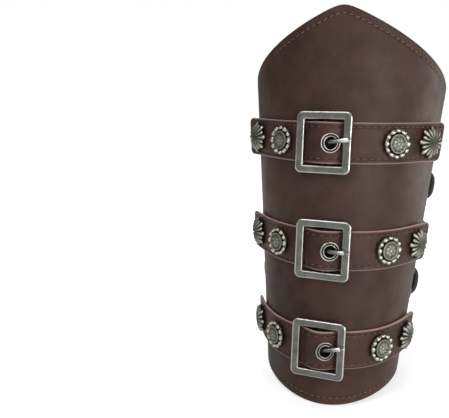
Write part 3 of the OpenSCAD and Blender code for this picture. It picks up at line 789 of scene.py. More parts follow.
print("a stitch has", sum(len(f) for f in stitch_shape(3.0, 0.6)[1]), "faces")


# %% A row of stitches and needle holes
def stitch_row(name, path, lift, sunk, length, width, thread):
    """Stitches along a closed path of flat points: a grain for each step, turned by a small slant,
    its middle 'sunk' below the lift's zero, and at both of its ends a dark disc, painted shade that
    stands for the needle hole."""
    ahead = unit(np.roll(path, -1, axis=0) - np.roll(path, 1, axis=0))
    c, s = np.cos(STITCH_SLANT), np.sin(STITCH_SLANT)
    ahead = ahead @ np.array([[c, s], [-s, c]])
    centre = lift(path, 0 * path[:, 0] - sunk)
    out = unit(lift(path, 0 * path[:, 0] + 1) - centre)
    ahead3 = lift(path + 0.5 * ahead, 0 * path[:, 0] - sunk) - centre
    ahead3 = unit(ahead3 - (ahead3 * out).sum(-1, keepdims=True) * out)
    put_piece(name, grains(stitch_shape(length, width), centre, ahead3, out), thread)
    disc, disc_faces = lathe([0, HOLE_R, HOLE_R, 0], [0.06, 0.05, -0.2, -0.2], 8)
    both = np.concatenate([centre + side * (0.5 * length + 0.05) * ahead3 for side in (-1, 1)])
    twice = np.tile(ahead3, (2, 1)), np.tile(out, (2, 1))
    put_piece(name + "_holes", grains((disc, disc_faces), both, *twice), needle_hole_shade)


print("a needle hole is", 2 * HOLE_R, "mm wide")


# %% [markdown]
# ## The shell
# The shell is cut in one piece: a point over the elbow, a dipping wrist edge and two straight
# lacing edges. Its outline is given by height over angle, exactly as in the CAD model, and its
# columns keep their distance from the lacing edges so that the seam stays even. A shallow, broad
# waviness keeps the big surface from looking machined.

# %% Shell outline
WRIST_DIP, POINT_SLOPE, POINT_EASE, POINT_R = 9.5, 0.52, 0.0009, 5.0
ELBOW_CORNER_R, WRIST_CORNER_R, SHOULDER_Z = 10.0, 6.0, 0.84 * PANEL_H
LEATHER_T, LINING_T, GLUE_GAP = 2.0, 0.8, 0.1
WALL_T = LEATHER_T + GLUE_GAP + LINING_T


def corner_drop(s, s_end, r):
    """How much a corner of radius r takes off at s, where the edge lies at s_end."""
    into = np.clip(s - s_end + r, 0, r)
    return r - np.sqrt(r * r - into * into)


def top_z(t, margin=0.0):
    """Height of the elbow edge: a blunt point, falling and easing off, with rounded corners."""
    s = np.abs(arc_at(t)) * half_w(SHOULDER_Z)
    fall = POINT_SLOPE * (np.sqrt(s * s + POINT_R ** 2) - POINT_R) - POINT_EASE * s * s
    return PANEL_H - margin - fall - corner_drop(s + margin, edge_s(SHOULDER_Z), ELBOW_CORNER_R)


def wrist_z(t, margin=0.0):
    """Height of the wrist edge: low in front, higher at the sides, with rounded corners."""
    s = np.abs(arc_at(t)) * half_w(0.0)
    corner = corner_drop(s + margin, edge_s(0.0), WRIST_CORNER_R)
    return margin + WRIST_DIP * np.sin(np.radians(t)) ** 2 + corner


print("point at", top_z(0.0), "mm, lacing corners at", top_z(WRAP).round(1), "and",
      wrist_z(WRAP).round(1), "mm")


# %% Shell grid
def stretch(height, t):
    """How much longer a step across a sloping edge is than one straight up, at most 1.6."""
    before, after = t - 0.2, t + 0.2
    run = (arc_at(after) - arc_at(before)) * half_w(PANEL_H / 2)
    return np.minimum(np.sqrt(1 + ((height(after) - height(before)) / run) ** 2), 1.6)


def shell_grid(margin, inner_cols, inner_rows):
    """Flat places (s, z): the outer rows and columns lie at fixed distances from the edges, the
    others spread evenly. As s and z depend on each other through the angle, they are found in a
    few rounds."""
    squeeze = 1 - margin / edge_s(PANEL_H / 2)
    inset = np.concatenate([NEAR_EDGE, np.full(inner_cols, NEAR_EDGE[-1]), NEAR_EDGE[::-1]])
    ones = np.ones(len(NEAR_EDGE))
    share = np.concatenate([-ones, np.linspace(-1, 1, inner_cols + 2)[1:-1], ones])
    part = np.concatenate([0 * ones, np.linspace(0, 1, inner_rows + 2)[1:-1], ones])[:, None]
    step = np.concatenate([NEAR_EDGE, np.full(inner_rows, NEAR_EDGE[-1]), NEAR_EDGE[::-1]])[:, None]
    z = np.full((len(part), len(share)), PANEL_H / 2)
    for _ in range(7):
        s = share * (edge_s(z) - margin - inset)
        t = deg_at(s, z) / squeeze
        low = wrist_z(t, margin) + step * stretch(wrist_z, t)
        high = top_z(t, margin) - step * stretch(top_z, t)
        z = low * (1 - part) + high * part
    return np.stack([share * (edge_s(z) - margin - inset), z], -1)


def shell_lift(middle, waviness=0.0):
    """Makes the function that puts flat places on the shell, a height above a middle depth; the
    waviness sinks them by 0 to 2 times its own size."""
    def lift(flat, n):
        s, z = flat[..., 0], flat[..., 1]
        wave = np.sin(s / 23 + np.sin(z / 31)) * np.sin(z / 27 + 1.3 * np.sin(s / 37)) - 1
        return skin(deg_at(s, z), z, middle + n + waviness * wave)
    return lift


print("40 degrees round, the elbow edge is", stretch(top_z, 40.0).round(2), "times a level one")


# %% Shell, lining and their seam
PITCH = 17.2
EYELET_Z = 26 + PITCH * np.arange(10)
EYELET_MARGIN, SEAM_AT = 11.0, 4.8
WAVINESS, LACE_HOLE_R = 0.12, 3.0
eyelet_s = edge_s(EYELET_Z) - EYELET_MARGIN
lacing_holes = [(side * s, z, LACE_HOLE_R) for side in (-1, 1) for s, z in zip(eyelet_s, EYELET_Z)]

shell_flat = shell_grid(margin=0.0, inner_cols=148, inner_rows=150)
shape = leather_sheet(shell_flat, shell_lift(-LEATHER_T / 2, WAVINESS), LEATHER_T, edge_r=0.9,
                      groove=0.25, groove_at=SEAM_AT, holes=lacing_holes)
put_piece("shell", shape, shell_leather, instead_of=("outer_panel",))
shell_seam = inset_path(outline_of(shell_flat), SEAM_AT, pitch=4.0)
stitch_row("shell_stitches", shell_seam, shell_lift(0.0, WAVINESS), sunk=0.2, length=2.9, width=0.6,
           thread=shell_thread)

lining_flat = shell_grid(margin=1.0, inner_cols=120, inner_rows=120)
shape = leather_sheet(lining_flat, shell_lift(-LEATHER_T - GLUE_GAP - LINING_T / 2), LINING_T,
                      edge_r=0.4, groove=0.0, groove_at=SEAM_AT, holes=lacing_holes)
put_piece("shell_lining", shape, lining_leather, instead_of=("lining",))

# %% [markdown]
# ## Straps
# Each strap is two layers of leather sewn together. It lies on the shell, climbs a little towards
# its ends because the forearm is a cone, humps up over the buckle's centre bar, and its stiff ends
# stand off a little. A curve modifier could bend it, but the same flat-to-shell idea as above does
# it with the CAD model's own hump and lift, so the metal parts meet it where they should. Its
# stitches are pulled in deeper than the shell's, which keeps them clear of the rocking frame.

# %% The strap's course
STRAP_Z = np.array([38.0, 102.0, 168.0])
LEVELS = ("low", "mid", "top")
STRAP_W, STRAP_T, STRAP_L, STRAP_CORNER_R, CLIMB = 25.0, 2.0, 154.0, 3.6, 4.4
STRAP_GAP, PART_GAP = 0.15, 0.25
ROUND_S, ROUND_R, FLOWER_S, EYELET_OFFSET = 35.8, 9.2, 64.0, 3.7
BUCKLE_S = (-3.8, -4.2, -6.9)
LIFT, LIFT_START = 1.4 * np.array([0.45, 0.75, 1.0]), ROUND_S + ROUND_R + 5
BAR_D, LOOP_R, HUMP_HALF_L = 2.2, 2.05, 13.0
BAR_N = LOOP_R + 0.4
HUMP_H = BAR_N + LOOP_R + 0.3 - STRAP_GAP


def hump(u):
    """A cosine squared hill over the centre bar, u away from it along the strap."""
    return np.where(np.abs(u) < HUMP_HALF_L, HUMP_H * np.cos(np.pi / 2 * u / HUMP_HALF_L) ** 2, 0.0)


def past(s):
    """How far a place lies past the start of the lift: 0 there, 1 at the flower conchos."""
    return np.maximum(0, np.abs(s) - LIFT_START) / (FLOWER_S - LIFT_START)


def strap_n(level, s):
    """Height of the strap's underside over the shell: a gap, the hump, and lift * past^2 at the
    ends."""
    return STRAP_GAP + hump(s - BUCKLE_S[level]) + LIFT[level] * past(s) ** 2


def climbed_z(level, t):
    """Height of the strap's middle at an angle."""
    return STRAP_Z[level] + CLIMB * (1 - np.cos(np.radians(t)))


def strap_lift(level):
    """Makes the function that puts flat places (s, across) on a strap, a height above its
    middle."""
    def lift(flat, n):
        s, across = flat[..., 0], flat[..., 1]
        t = deg_at(s, STRAP_Z[level])
        return skin(t, climbed_z(level, t) + across, strap_n(level, s) + STRAP_T / 2 + n)
    return lift


print("over the centre bar a strap stands", round(float(STRAP_GAP + hump(0.0)), 2), "mm off")

# %% Straps with their seams
across_edge = np.array([0, 0.1, 0.3, 0.6, 1.0, 1.7, 2.3, 2.6, 2.9, 3.2, 3.5, 4.1])
from_end = np.concatenate([across_edge, np.linspace(5.1, STRAP_L / 2, 60)])
strap_s = np.concatenate([from_end - STRAP_L / 2, (STRAP_L / 2 - from_end)[-2::-1]])
strap_half = STRAP_W / 2 - corner_drop(np.abs(strap_s), STRAP_L / 2, STRAP_CORNER_R)
middle_rows = 13
rows_in = np.concatenate([across_edge, np.full(middle_rows, across_edge[-1]), across_edge[::-1]])
ones = np.ones(len(across_edge))
rows_at = np.concatenate([-ones, np.linspace(-1, 1, middle_rows + 2)[1:-1], ones])[:, None]
strap_flat = np.stack([strap_s + 0 * rows_at, rows_at * (strap_half - rows_in[:, None])], -1)
strap_seam = inset_path(outline_of(strap_flat), 3.0, pitch=4.4)

for level, word in enumerate(LEVELS):
    eyelet_hole = (BUCKLE_S[level] + EYELET_OFFSET, 0.0, 4.2)
    shape = leather_sheet(strap_flat, strap_lift(level), STRAP_T, edge_r=0.8, groove=0.22,
                          groove_at=2.9, holes=[eyelet_hole], edge_band_w=0.65)
    put_piece("strap_leather_" + word, shape, strap_leather,
              instead_of=("strap_" + word,))
    stitch_row("strap_stitches_" + word, strap_seam, strap_lift(level), sunk=0.34 - STRAP_T / 2,
               length=3.1, width=0.62, thread=strap_thread)

# %% [markdown]
# ## Buckles
# The frame is a rounded rectangle of flat cast bar with rubbed, rounded edges. Bevelling a box
# would do, but carrying one bar section round the window gives every point its distance from the
# bar's edge, which the bright outline needs: rubbed silver, and a painted highlight on the bevels.
# The far bar has a small notch that the prong rests in.

# %% Setting down at a buckle
def at_buckle(points, level):
    """Local points (along the strap, up, out) at a buckle's centre bar."""
    t = deg_at(BUCKLE_S[level], STRAP_Z[level])
    return on_skin(points, t, climbed_z(level, t))


BUCKLE_W, BUCKLE_H, BAR_W, FRAME_T = 33.8, 37.5, 4.8, 3.0
INNER_R, OUTER_R = 0.5, 3.6
FRAME_N = BAR_N - BAR_D / 2 + 0.2
WINDOW = np.array([BUCKLE_W / 2 - BAR_W, BUCKLE_H / 2 - BAR_W])
PRONG_D, NOTCH, NOTCH_PLAY = 3.0, 0.4, 0.2
ASKEW = np.tan(np.radians((13.0, 0.0, 8.0)))
KNEE = np.array([5.5, BAR_N + 4])
REST = np.array([WINDOW[0] + BAR_W / 2, FRAME_N + FRAME_T + PRONG_D / 2 - NOTCH])
FALL = (REST[1] - KNEE[1]) / (REST[0] - KNEE[0])
TIP_U = WINDOW[0] + BAR_W * np.array([0.45, 0.3, 0.72])
print("prongs askew by", ASKEW.round(3), "and ending at", TIP_U.round(2), "mm from the bar")

# %% Frame section carried round the window
bar_q = np.array([0, 0.08, 0.3, 1.2, 3.6, 4.5, 4.72, 4.8, 4.8, 4.8, 4.74, 4.58, 4.35, 4.05, 3.6,
                  2.4, 1.2, 0.75, 0.45, 0.22, 0.06, 0, 0])
bar_n = np.array([0.5, 0.2, 0, 0, 0, 0, 0.2, 0.5, 1.4, 2.05, 2.4, 2.68, 2.86, 2.95, 3.0,
                  2.98, 3.0, 2.95, 2.86, 2.68, 2.4, 2.05, 1.3])
# Brightens the two bevels of the top face: rubbed silver, and a painted highlight as well.
bar_edge = np.array([0, 0, 0, 0, 0, 0, 0, 0, 0.0, 0.3, 0.8, 1.1, 0.9, 0.35, 0.05,
                     0.0, 0.05, 0.25, 0.6, 0.8, 0.6, 0.2, 0.0])
bar_hollow = np.array([0.3, 0.6, 0.6, 0.6, 0.6, 0.6, 0.6, 0.3] + [0.0] * 14 + [0.25])


def frame_ring(askew):
    """The section runs from the window's outline to the frame's: with f = q / bar width, a point is
    (1 - f) * inner point + f * outer point, and both outlines turn through the same direction.
    Under the prong, the face sinks to the prong's axis - sqrt(r^2 - distance beside it^2)."""
    inner_flat, outer_flat = WINDOW - INNER_R, WINDOW + BAR_W - OUTER_R
    quarter = np.linspace(0, np.pi / 2, 11)
    places, headings = [], []
    for k, (u, v) in enumerate(((1, 1), (-1, 1), (-1, -1), (1, -1))):
        angle = quarter + k * np.pi / 2
        places.append(np.tile([u, v], (len(angle), 1)))
        headings.append(np.stack([np.cos(angle), np.sin(angle)], -1))
    v = np.concatenate([np.linspace(-1, -0.2, 8)[1:], np.linspace(-0.16, 0.36, 41),
                        np.linspace(0.4, 1, 7)[:-1]])
    places.append(np.stack([0 * v + 1, v], -1))
    headings.append(np.tile([1.0, 0.0], (len(v), 1)))
    place, heading = np.concatenate(places)[:, None], np.concatenate(headings)[:, None]
    f = bar_q[:, None] / BAR_W
    inner, outer = place * inner_flat + INNER_R * heading, place * outer_flat + OUTER_R * heading
    plane = (1 - f) * inner + f * outer
    height = np.tile(bar_n, (len(plane), 1)) + FRAME_N
    beside = plane[..., 1] - askew * plane[..., 0]
    under = np.sqrt(np.maximum((PRONG_D / 2 + NOTCH_PLAY) ** 2 - beside ** 2, 0))
    axis = KNEE[1] + (plane[..., 0] - KNEE[0]) * FALL
    notched = (plane[..., 0] > 5) & (under > 0) & (height > axis - under)
    height = np.where(notched, axis - under, height)
    points = np.concatenate([plane, height[..., None]], -1).reshape(-1, 3)
    values = {"edge": np.tile(bar_edge, len(plane)), "hollow_and_shade": np.tile(bar_hollow, len(plane))}
    return points, [grid_faces(len(plane), len(bar_q), True, True)], values


for level, word in enumerate(LEVELS):
    points, faces, values = frame_ring(ASKEW[level])
    points, faces = turned_outwards(at_buckle(points, level), faces)
    put_piece("frame_" + word, (points, faces, values), buckle_silver, "buckle_" + word,
              ("buckle_frame_" + word,), sharp=40)

# %% [markdown]
# ## Prongs
# A prong is a bent wire: a band wraps round the centre bar, the wire comes up through the strap's
# eyelet, bends, and lies down on the frame with its end cut off square. A curve with a bevel would
# make the wire, but a lathed band and a tube whose corner is a smooth arc also carry the wear: the
# cut end is rubbed brightest of all. The wire is slimmer up to the eyelet, to stay clear of it.

# %% Prong: band and bent wire
def with_values(shape, edge, hollow_and_shade):
    """Adds the wear values, plain numbers or one per point, to (points, faces)."""
    count = len(shape[0])
    return shape[0], shape[1], {"edge": np.zeros(count) + edge, "hollow_and_shade": np.zeros(count) + hollow_and_shade}


def prong_shape(askew, tip_u):
    """The wire goes straight up from the bar, round a parabola at its knee and straight on to its
    tip: start (1-w)^2 + 2 w (1-w) knee + w^2 end for w from 0 to 1 gives the bend. Askew is how far
    it moves across the strap for each millimetre along it."""
    bar_at = np.array([0.0, BAR_N])
    first, second = unit(KNEE - bar_at), unit(np.array([1.0, FALL]))
    bend_reach = 2.4
    bend_from, bend_to = KNEE - bend_reach * first, KNEE + bend_reach * second
    w = np.linspace(0, 1, 12)[:, None]
    bend = bend_from * (1 - w) ** 2 + 2 * w * (1 - w) * KNEE + w ** 2 * bend_to
    tip = np.array([tip_u, KNEE[1] + (tip_u - KNEE[0]) * FALL])
    run = bend_to + np.linspace(0, 1, 9)[1:, None] * (tip - bend_to)
    cut_end = [tip + 0.12 * second, tip + 0.13 * second]
    flat = np.concatenate([[bar_at + 1.4 * first], bend, run, cut_end])
    path = np.stack([flat[:, 0], askew * flat[:, 0], flat[:, 1]], -1)
    radii = PRONG_D / 2 - 0.1 + np.clip((flat[:, 0] - 10) / 3, 0, 1) * 0.25
    radii[-2:] -= 0.1, 0.35
    sides = 20
    edge = np.repeat(np.clip((flat[:, 0] - 8) / 5, 0.0, 1.3), sides)
    wire = with_values(tube(path, radii, sides), np.append(edge, [0.1, 1.3]), 0.0)
    band, band_faces = lathe([1.15, 1.15, 1.3, 1.8, 2.05, 2.05, 1.8, 1.3],
                             [-1.95, 1.95, 2.1, 2.1, 1.85, -1.85, -2.1, -2.1], 36, ring=True)
    band = turned_outwards(band[:, [0, 2, 1]] + (0.0, 0.0, BAR_N), band_faces)
    return joined([wire, with_values(band, 0.2, 0.35)])


for level, word in enumerate(LEVELS):
    points, faces, values = prong_shape(ASKEW[level], TIP_U[level])
    put_piece("prong_wire_" + word, (at_buckle(points, level), faces, values),
              buckle_silver, "prong_" + word, ("prong_" + word,), sharp=50)

# %% [markdown]
# ## Eyelets
# An eyelet is a short tube whose two ends are rolled out over the leather. The rolled front shows
# as two rings with a dark groove between them. Two joined tori would look close, but one lathed
# section holds the whole eyelet. The straps' eyelets sit square on the sloping hump and are pressed
# in a little deeper, clear of the prongs; the lacing eyelets go right through shell and lining.

# %% Eyelet section
def eyelet_shape(bore, flange_r, half_t, sides):
    """A closed section turned round Z: barrel, washer behind, and a flange in front with an inner
    roll, a groove and an outer ring. Heights are from the leather's middle."""
    share = np.array([0, 0, 0.03, 0.12, 0.22, 0.32, 0.4, 0.48, 0.56, 0.64, 0.75, 0.87, 0.96, 1.0,
                      1.0, 0.6])
    rise = np.array([-0.2, 0.45, 0.78, 0.98, 0.98, 0.78, 0.5, 0.42, 0.5, 0.7, 0.82, 0.72, 0.45, 0.2,
                     0.0, 0.0])
    radii = np.concatenate([bore + (flange_r - bore) * share,
                            [bore + 0.6, bore + 0.6, flange_r - 1.0, flange_r - 0.9,
                             flange_r - 1.1, bore + 0.5, bore]])
    heights = np.concatenate([half_t + rise, [half_t, -half_t, -half_t, -half_t - 0.15,
                                              -half_t - 0.4, -half_t - 0.4, -half_t + 0.1]])
    edge, hollow_and_shade = np.zeros(len(radii)), np.zeros(len(radii))
    edge[:16] = (0, 0.1, 0.5, 1.0, 1.0, 0.5, 0, 0, 0, 0.5, 1.1, 1.0, 0.4, 0, 0, 0)
    hollow_and_shade[:16] = (1.0, 0.5, 0.1, 0, 0, 0.1, 0.6, 0.85, 0.6, 0.1, 0, 0, 0, 0.1, 0.5, 0.5)
    edge[-4:-1] = 0.6
    eyelet = lathe(radii, heights, sides, ring=True)
    return with_values(eyelet, np.repeat(edge, sides), np.repeat(hollow_and_shade, sides))


# %% Strap eyelets, tilted with the hump
def leaned(points, angle):
    """Points turned about the across direction: x cos + z sin, y, z cos - x sin."""
    c, s = np.cos(angle), np.sin(angle)
    x, y, z = points.T
    return np.stack([x * c + z * s, y, z * c - x * s], -1)


hump_slope = HUMP_H * np.sin(np.pi * EYELET_OFFSET / HUMP_HALF_L) * np.pi / 2 / HUMP_HALF_L
points, faces, values = eyelet_shape(bore=3.6, flange_r=6.3, half_t=STRAP_T / 2 - 0.28, sides=64)
tilted = leaned(points + (0, 0, STRAP_T / 2), np.arctan(hump_slope))
for level, word in enumerate(LEVELS):
    s = BUCKLE_S[level] + EYELET_OFFSET
    t = deg_at(s, STRAP_Z[level])
    place = on_skin(tilted, t, climbed_z(level, t), strap_n(level, s))
    put_piece("eyelet_ring_" + word, (place, faces, values), eyelet_steel,
              instead_of=("strap_eyelet_" + word,))

# %% Lacing eyelets, ten at each edge
points, faces, values = eyelet_shape(bore=2.5, flange_r=4.8, half_t=WALL_T / 2 + 0.1, sides=40)
for side, word in ((-1, "left"), (1, "right")):
    placed = [(on_skin(points, side * deg_at(s, z), z, -WALL_T / 2), faces, values)
              for s, z in zip(eyelet_s, EYELET_Z)]
    put_piece("lace_rings_" + word, joined(placed), eyelet_steel,
              instead_of=("lacing_eyelets_" + word,))

# %% [markdown]
# ## Round conchos
# A concho is a small cast ornament with a screw post behind. The round one has a raised medal with
# a twisted rim and a grained field, a deep black channel, and a ring of beads, large and middling
# in turn. Sculpting would be the usual way; here the medal is a height over radius and angle, and
# the beads are copies of one stretched ball.

# %% Round concho
def medal_shape(sides):
    """Height over radius r and angle a. The field, 3.35 falling to 3.15, carries a boss, seven
    leaves by |cos(3.5 a)| and grains by sin(11 a + 2 r) sin(4.6 r + 1); round it run a rim up to
    3.4, notched by sin(24 a + 4 r), a channel at 1.2 and an outer ring at 1.85."""
    radius = np.concatenate([np.linspace(0.25, 4.9, 22), np.linspace(5.05, 5.9, 8),
                             [5.93, 5.97, 6.3, 6.42, 6.6, 6.85, 7.2, 7.8, 8.3, 8.55, 8.6, 8.5,
                              7.9]])
    base = np.concatenate([3.15 + 0.2 * np.cos(np.linspace(0, np.pi / 2, 22)), 3.05 + np.zeros(8),
                           [2.4, 1.25, 1.2, 1.3, 1.6, 1.8, 1.85, 1.8, 1.6, 1.3, 0.9, 0.4, 0.0]])
    a = np.arange(sides) * 2 * np.pi / sides
    r, flat_part = radius[:, None], (radius < 4.95)[:, None]
    leaves = 0.3 * np.exp(-((r - 2.5) / 0.9) ** 2) * np.abs(np.cos(3.5 * a)) ** 0.7
    boss = 0.55 * np.exp(-(r / 0.85) ** 2)
    small_grains = 0.13 * np.sin(11 * a + 2.0 * r) * np.sin(4.6 * r + 1.0) * (r > 0.9)
    twisted = 0.8 + 0.2 * np.sin(24 * a + 4 * r)
    rim = 0.38 * np.sqrt(np.clip(1 - ((r - 5.45) / 0.5) ** 2, 0, 1)) * twisted
    height = base[:, None] + np.where(flat_part, leaves + boss + small_grains, 0) + rim
    grid = np.stack([r * np.cos(a), r * np.sin(a), height], -1)
    low = np.clip((base[:, None] + 0.1 - height) * 4, 0, 0.7) * flat_part
    channel = (r > 5.9) & (r < 6.9)
    hollow_and_shade = low + channel + (r > 8.4) * 0.3
    edge = np.clip((height - base[:, None]) * np.where(flat_part, 1.7, 1.1), 0, 1.1)
    medal = closed_ends(grid, [[0, 0, height[0].mean()], [0, 0, 0]])
    return with_values(medal, np.append(edge, [1.0, 0]), np.append(hollow_and_shade, [0, 0]))


def bead_shape(angle, size):
    """A ball stretched to its own size across the ring, along it and in height, and set with its
    outer side 9.15 from the middle."""
    turn = np.linspace(0, np.pi, 11)
    ball, ball_faces = lathe(np.sin(turn) * (turn < 3.1), -np.cos(turn), 16)
    x, y, z = (ball * size + (9.15 - size[0], 0, 1.75)).T
    c, s = np.cos(angle), np.sin(angle)
    points = np.stack([x * c - y * s, x * s + y * c, z], -1)
    up = ball[:, 2]
    return with_values((points, ball_faces), np.clip(0.3 + up, 0, 1.1), np.clip(-up - 0.05, 0, 1))


beads = [bead_shape((k + turn) * np.pi / 3, size)
         for turn, size in ((0, (1.5, 2.05, 1.5)), (0.5, (1.35, 1.8, 1.35))) for k in range(6)]
round_concho = joined([medal_shape(sides=144)] + beads)
print("round concho:", len(round_concho[0]), "points")

# %% [markdown]
# ## Flower conchos
# The flower is a dome of club-shaped petals, long and short in turn, with black gaps between them.
# Each petal is a tube along an arched line that swells to a round end, which a metaball or a
# bevelled curve could also give; sixteen of them stand on a low dark dish.

# %% Flower concho
def petal_shape(angle, end_r, ball_r):
    """A tube over the dome 4.3 - 2.95 (r / 8.7)^1.8 whose radius 0.13 r + 0.1 swells to the ball's
    radius and closes over it as a quarter circle. Bright where it faces up, more so far out on the
    dome, as a painted highlight; black where it faces down and darker towards the middle, as
    painted shade that runs into the tarnish of the gaps."""
    sides = 12
    neck = np.linspace(0.35, end_r, 18)
    swell = np.clip((neck - 0.42 * end_r) / (0.58 * end_r), 0, 1) ** 1.5
    girth = (0.13 * neck + 0.05) * (1 - swell) + ball_r * swell + 0.05
    cap = np.linspace(0, np.pi / 2, 7)[1:-1]
    reach = np.concatenate([neck, end_r + ball_r * np.sin(cap), [end_r + ball_r]])
    girth = np.concatenate([girth, (ball_r + 0.05) * np.cos(cap), [0.02]])
    height = 4.3 - 2.95 * (np.minimum(reach, end_r + 0.4) / 8.7) ** 1.8
    path = np.stack([reach * np.cos(angle), reach * np.sin(angle), height], -1)
    points, faces = tube(path, girth, sides, reference=(-np.sin(angle), np.cos(angle), 0.0))
    # Upper side and outer end brightened as a painted highlight; lower side and the flower's middle
    # darkened as painted shade.
    over_axis = points[:-2, 2] - np.repeat(height, sides)
    top = np.clip(np.append(over_axis / np.maximum(np.repeat(girth, sides), 0.1), [0, 0]), -1, 1)
    out_share = np.append(np.repeat(reach / 9.7, sides), [0, 1])
    return with_values((points, faces), np.clip(top * (1.3 * out_share - 0.1), 0, 1.1),
                       np.clip(0.7 - top, 0, 0.85) * 1.3 + 0.4 * (1 - out_share))


dish = lathe([0, 7.0, 7.6, 7.7, 7.2, 5.2, 2.4, 0], [0, 0, 0.4, 0.8, 1.3, 2.3, 3.2, 3.6], 60)
petals = [petal_shape((k + turn) * np.pi / 4, end_r, ball_r)
          for turn, end_r, ball_r in ((0, 8.6, 1.46), (0.5, 7.5, 1.24)) for k in range(8)]
flower_concho = joined([with_values(dish, 0.0, 1.0)] + petals)
print("flower concho:", len(flower_concho[0]), "points")

# %% Conchos on the straps
def on_strap(shape, level, s):
    """A concho set on the strap at s, tilted as the strap's end is: the slope of lift * past^2."""
    points, faces, values = shape
    t = deg_at(s, STRAP_Z[level])
    slope = np.arctan(2 * LIFT[level] * past(s) / (FLOWER_S - LIFT_START))
    seat = strap_n(level, s) + STRAP_T + PART_GAP
    tilted = leaned(points, -np.sign(s) * slope)
    return on_skin(tilted, t, climbed_z(level, t), seat), faces, values


for level, word in enumerate(LEVELS):
    for kind, s, shape in (("round", ROUND_S, round_concho), ("flower", FLOWER_S, flower_concho)):
        pair = joined([on_strap(shape, level, -s), on_strap(shape, level, s)])
        put_piece(f"{kind}_medals_{word}", pair, concho_silver,
                  instead_of=(f"{kind}_conchos_{word}",), sharp=60)

# %% [markdown]
# ## The lace
# The lace is one length of round braid. It starts at the knot between the two top eyelets, runs
# down outside every second pair, crosses over inside, turns at the wrist and comes back up through
# the others. It is held all the way, so it is no loose cord to simulate: its route is the CAD
# model's row of points, with the corners cut round, and a tube with a UV map for the braid.

# %% The lace's route
LACE_D, FLANGE_T, WASHER_T, LAST = 3.8, 0.8, 0.4, len(EYELET_Z) - 1
LACE_OUT, LACE_IN, CROSS_GAP = LACE_D / 2 + FLANGE_T + 0.3, WALL_T + WASHER_T + 0.8, 0.5
LACE_STEP, KNOT_HALF_L = 0.9, 5.2


def hole_point(side, i, n, rise=0.0):
    """A point n above the leather at a lacing eyelet, or a little above or below it."""
    z = EYELET_Z[i] + rise
    return skin(side * deg_at(edge_s(z) - EYELET_MARGIN, z), z, n)


def outside_run(side, i, way):
    """Out of one eyelet, along the leather and into the next: (eyelet, height over the leather,
    place along the edge) of seven points, in the order in which the cord passes them."""
    stations = ((i, -LACE_IN, 0), (i, 0.6, 0), (i, LACE_OUT, way * 0.2 * PITCH),
                (i, LACE_OUT + 0.3, way * 0.5 * PITCH), (i, LACE_OUT, way * 0.8 * PITCH),
                (i + way, 0.6, 0), (i + way, -LACE_IN, 0))
    return [hole_point(side, k, n, rise) for k, n, rise in stations]


def crossing(a, b, push):
    """Halfway between two eyelets inside, pushed clear of the strand that crosses there."""
    return (a + b) / 2 + np.array([0, push * (LACE_D + CROSS_GAP) / 2, -1])


knot_place = hole_point(1, LAST, -LACE_IN) * (0, 1, 1) - (0, 0, 4)
route = [knot_place - (KNOT_HALF_L, 0, 0)]
for way, starts in ((-1, range(LAST, 0, -2)), (1, range(0, LAST, 2))):
    for nth, k in enumerate(starts):
        side = way if nth % 2 == 0 else -way
        route += outside_run(side, k, way)
        if nth < len(starts) - 1:
            route.append(crossing(route[-1], hole_point(-side, k + 2 * way, -LACE_IN), -way))
route.append(knot_place + (KNOT_HALF_L, 0, 0))
lace_path = evenly(rounded(route, 3), LACE_STEP)
print("lace between its knot's ends:", round(len(lace_path) * LACE_STEP / 1000, 2), "m")


# %% Braided tubes
def braid(path, radius):
    """A tube whose UV map runs once round it and one unit per braid repeat along it."""
    sides, repeat = 16, 3.2
    points, faces = tube(path, radius, sides)
    far = along(path) / repeat
    uv = np.stack([np.tile(np.arange(sides) / sides, len(path)), np.repeat(far, sides)], -1)
    return points, faces, np.concatenate([uv, [[0.5, far[0]], [0.5, far[-1]]]])


def corner_uv(faces, uv):
    """UVs per face corner: where a face spans the seam of the tube, its low corners move on by
    one."""
    parts = []
    for f in faces:
        corner = uv[f]
        spans = (corner[..., 0].max(1) - corner[..., 0].min(1) > 0.5)[:, None]
        corner[..., 0] += spans & (corner[..., 0] < 0.45)
        parts.append(corner.reshape(-1, 2))
    return np.concatenate(parts)


points, faces, uv = braid(lace_path, LACE_D / 2)
put_piece("laced_cord", (points, faces, {}), black_cord, instead_of=("lace",),
          corner_map=corner_uv(faces, uv))

# %% [markdown]
# ## The knot
# The lace's two ends are twisted round each other over the gap and hang down as short tails. A
# real knot could be drawn with a curve and sculpted tight, but it hides inside the elbow, so the
# twist is a double screw line: one strand at angle p round the knot's axis, the other opposite. The
# tails then curve down into their metal tips.

# %% Knot and tails
def knot_strand(way):
    """One end: in from its side, (cos p, sin p) * 2.05 round the X axis for one and a quarter
    turns, out at the other side and down along its tail."""
    twist_r, twist_half_l, count = 2.05, 4.4, 26
    p = np.radians(np.linspace(-225, 225, count))
    r = twist_r * np.minimum(1, (1 - np.abs(np.linspace(-1, 1, count))) * 5 + 0.35)
    twist = np.stack([p / p[-1] * twist_half_l, r * np.cos(p), r * np.sin(p)], -1)
    splay, lean = np.radians(16), np.radians(12) * way
    down = np.array([np.sin(splay) * np.cos(lean), np.sin(lean), -np.cos(splay) * np.cos(lean)])
    tail = np.array([[6.0, -1.2, -3.4], [6.4, way * 0.8, -7.5], [5.2, way * 1.8, -11.5]])
    straight = down * np.linspace(15.5, 24, 6)[:, None]
    path = evenly(rounded(np.concatenate([[[-5.6, 0, 0]], twist, tail, straight]), 2), 0.6)
    return path * (way, way, 1) + knot_place


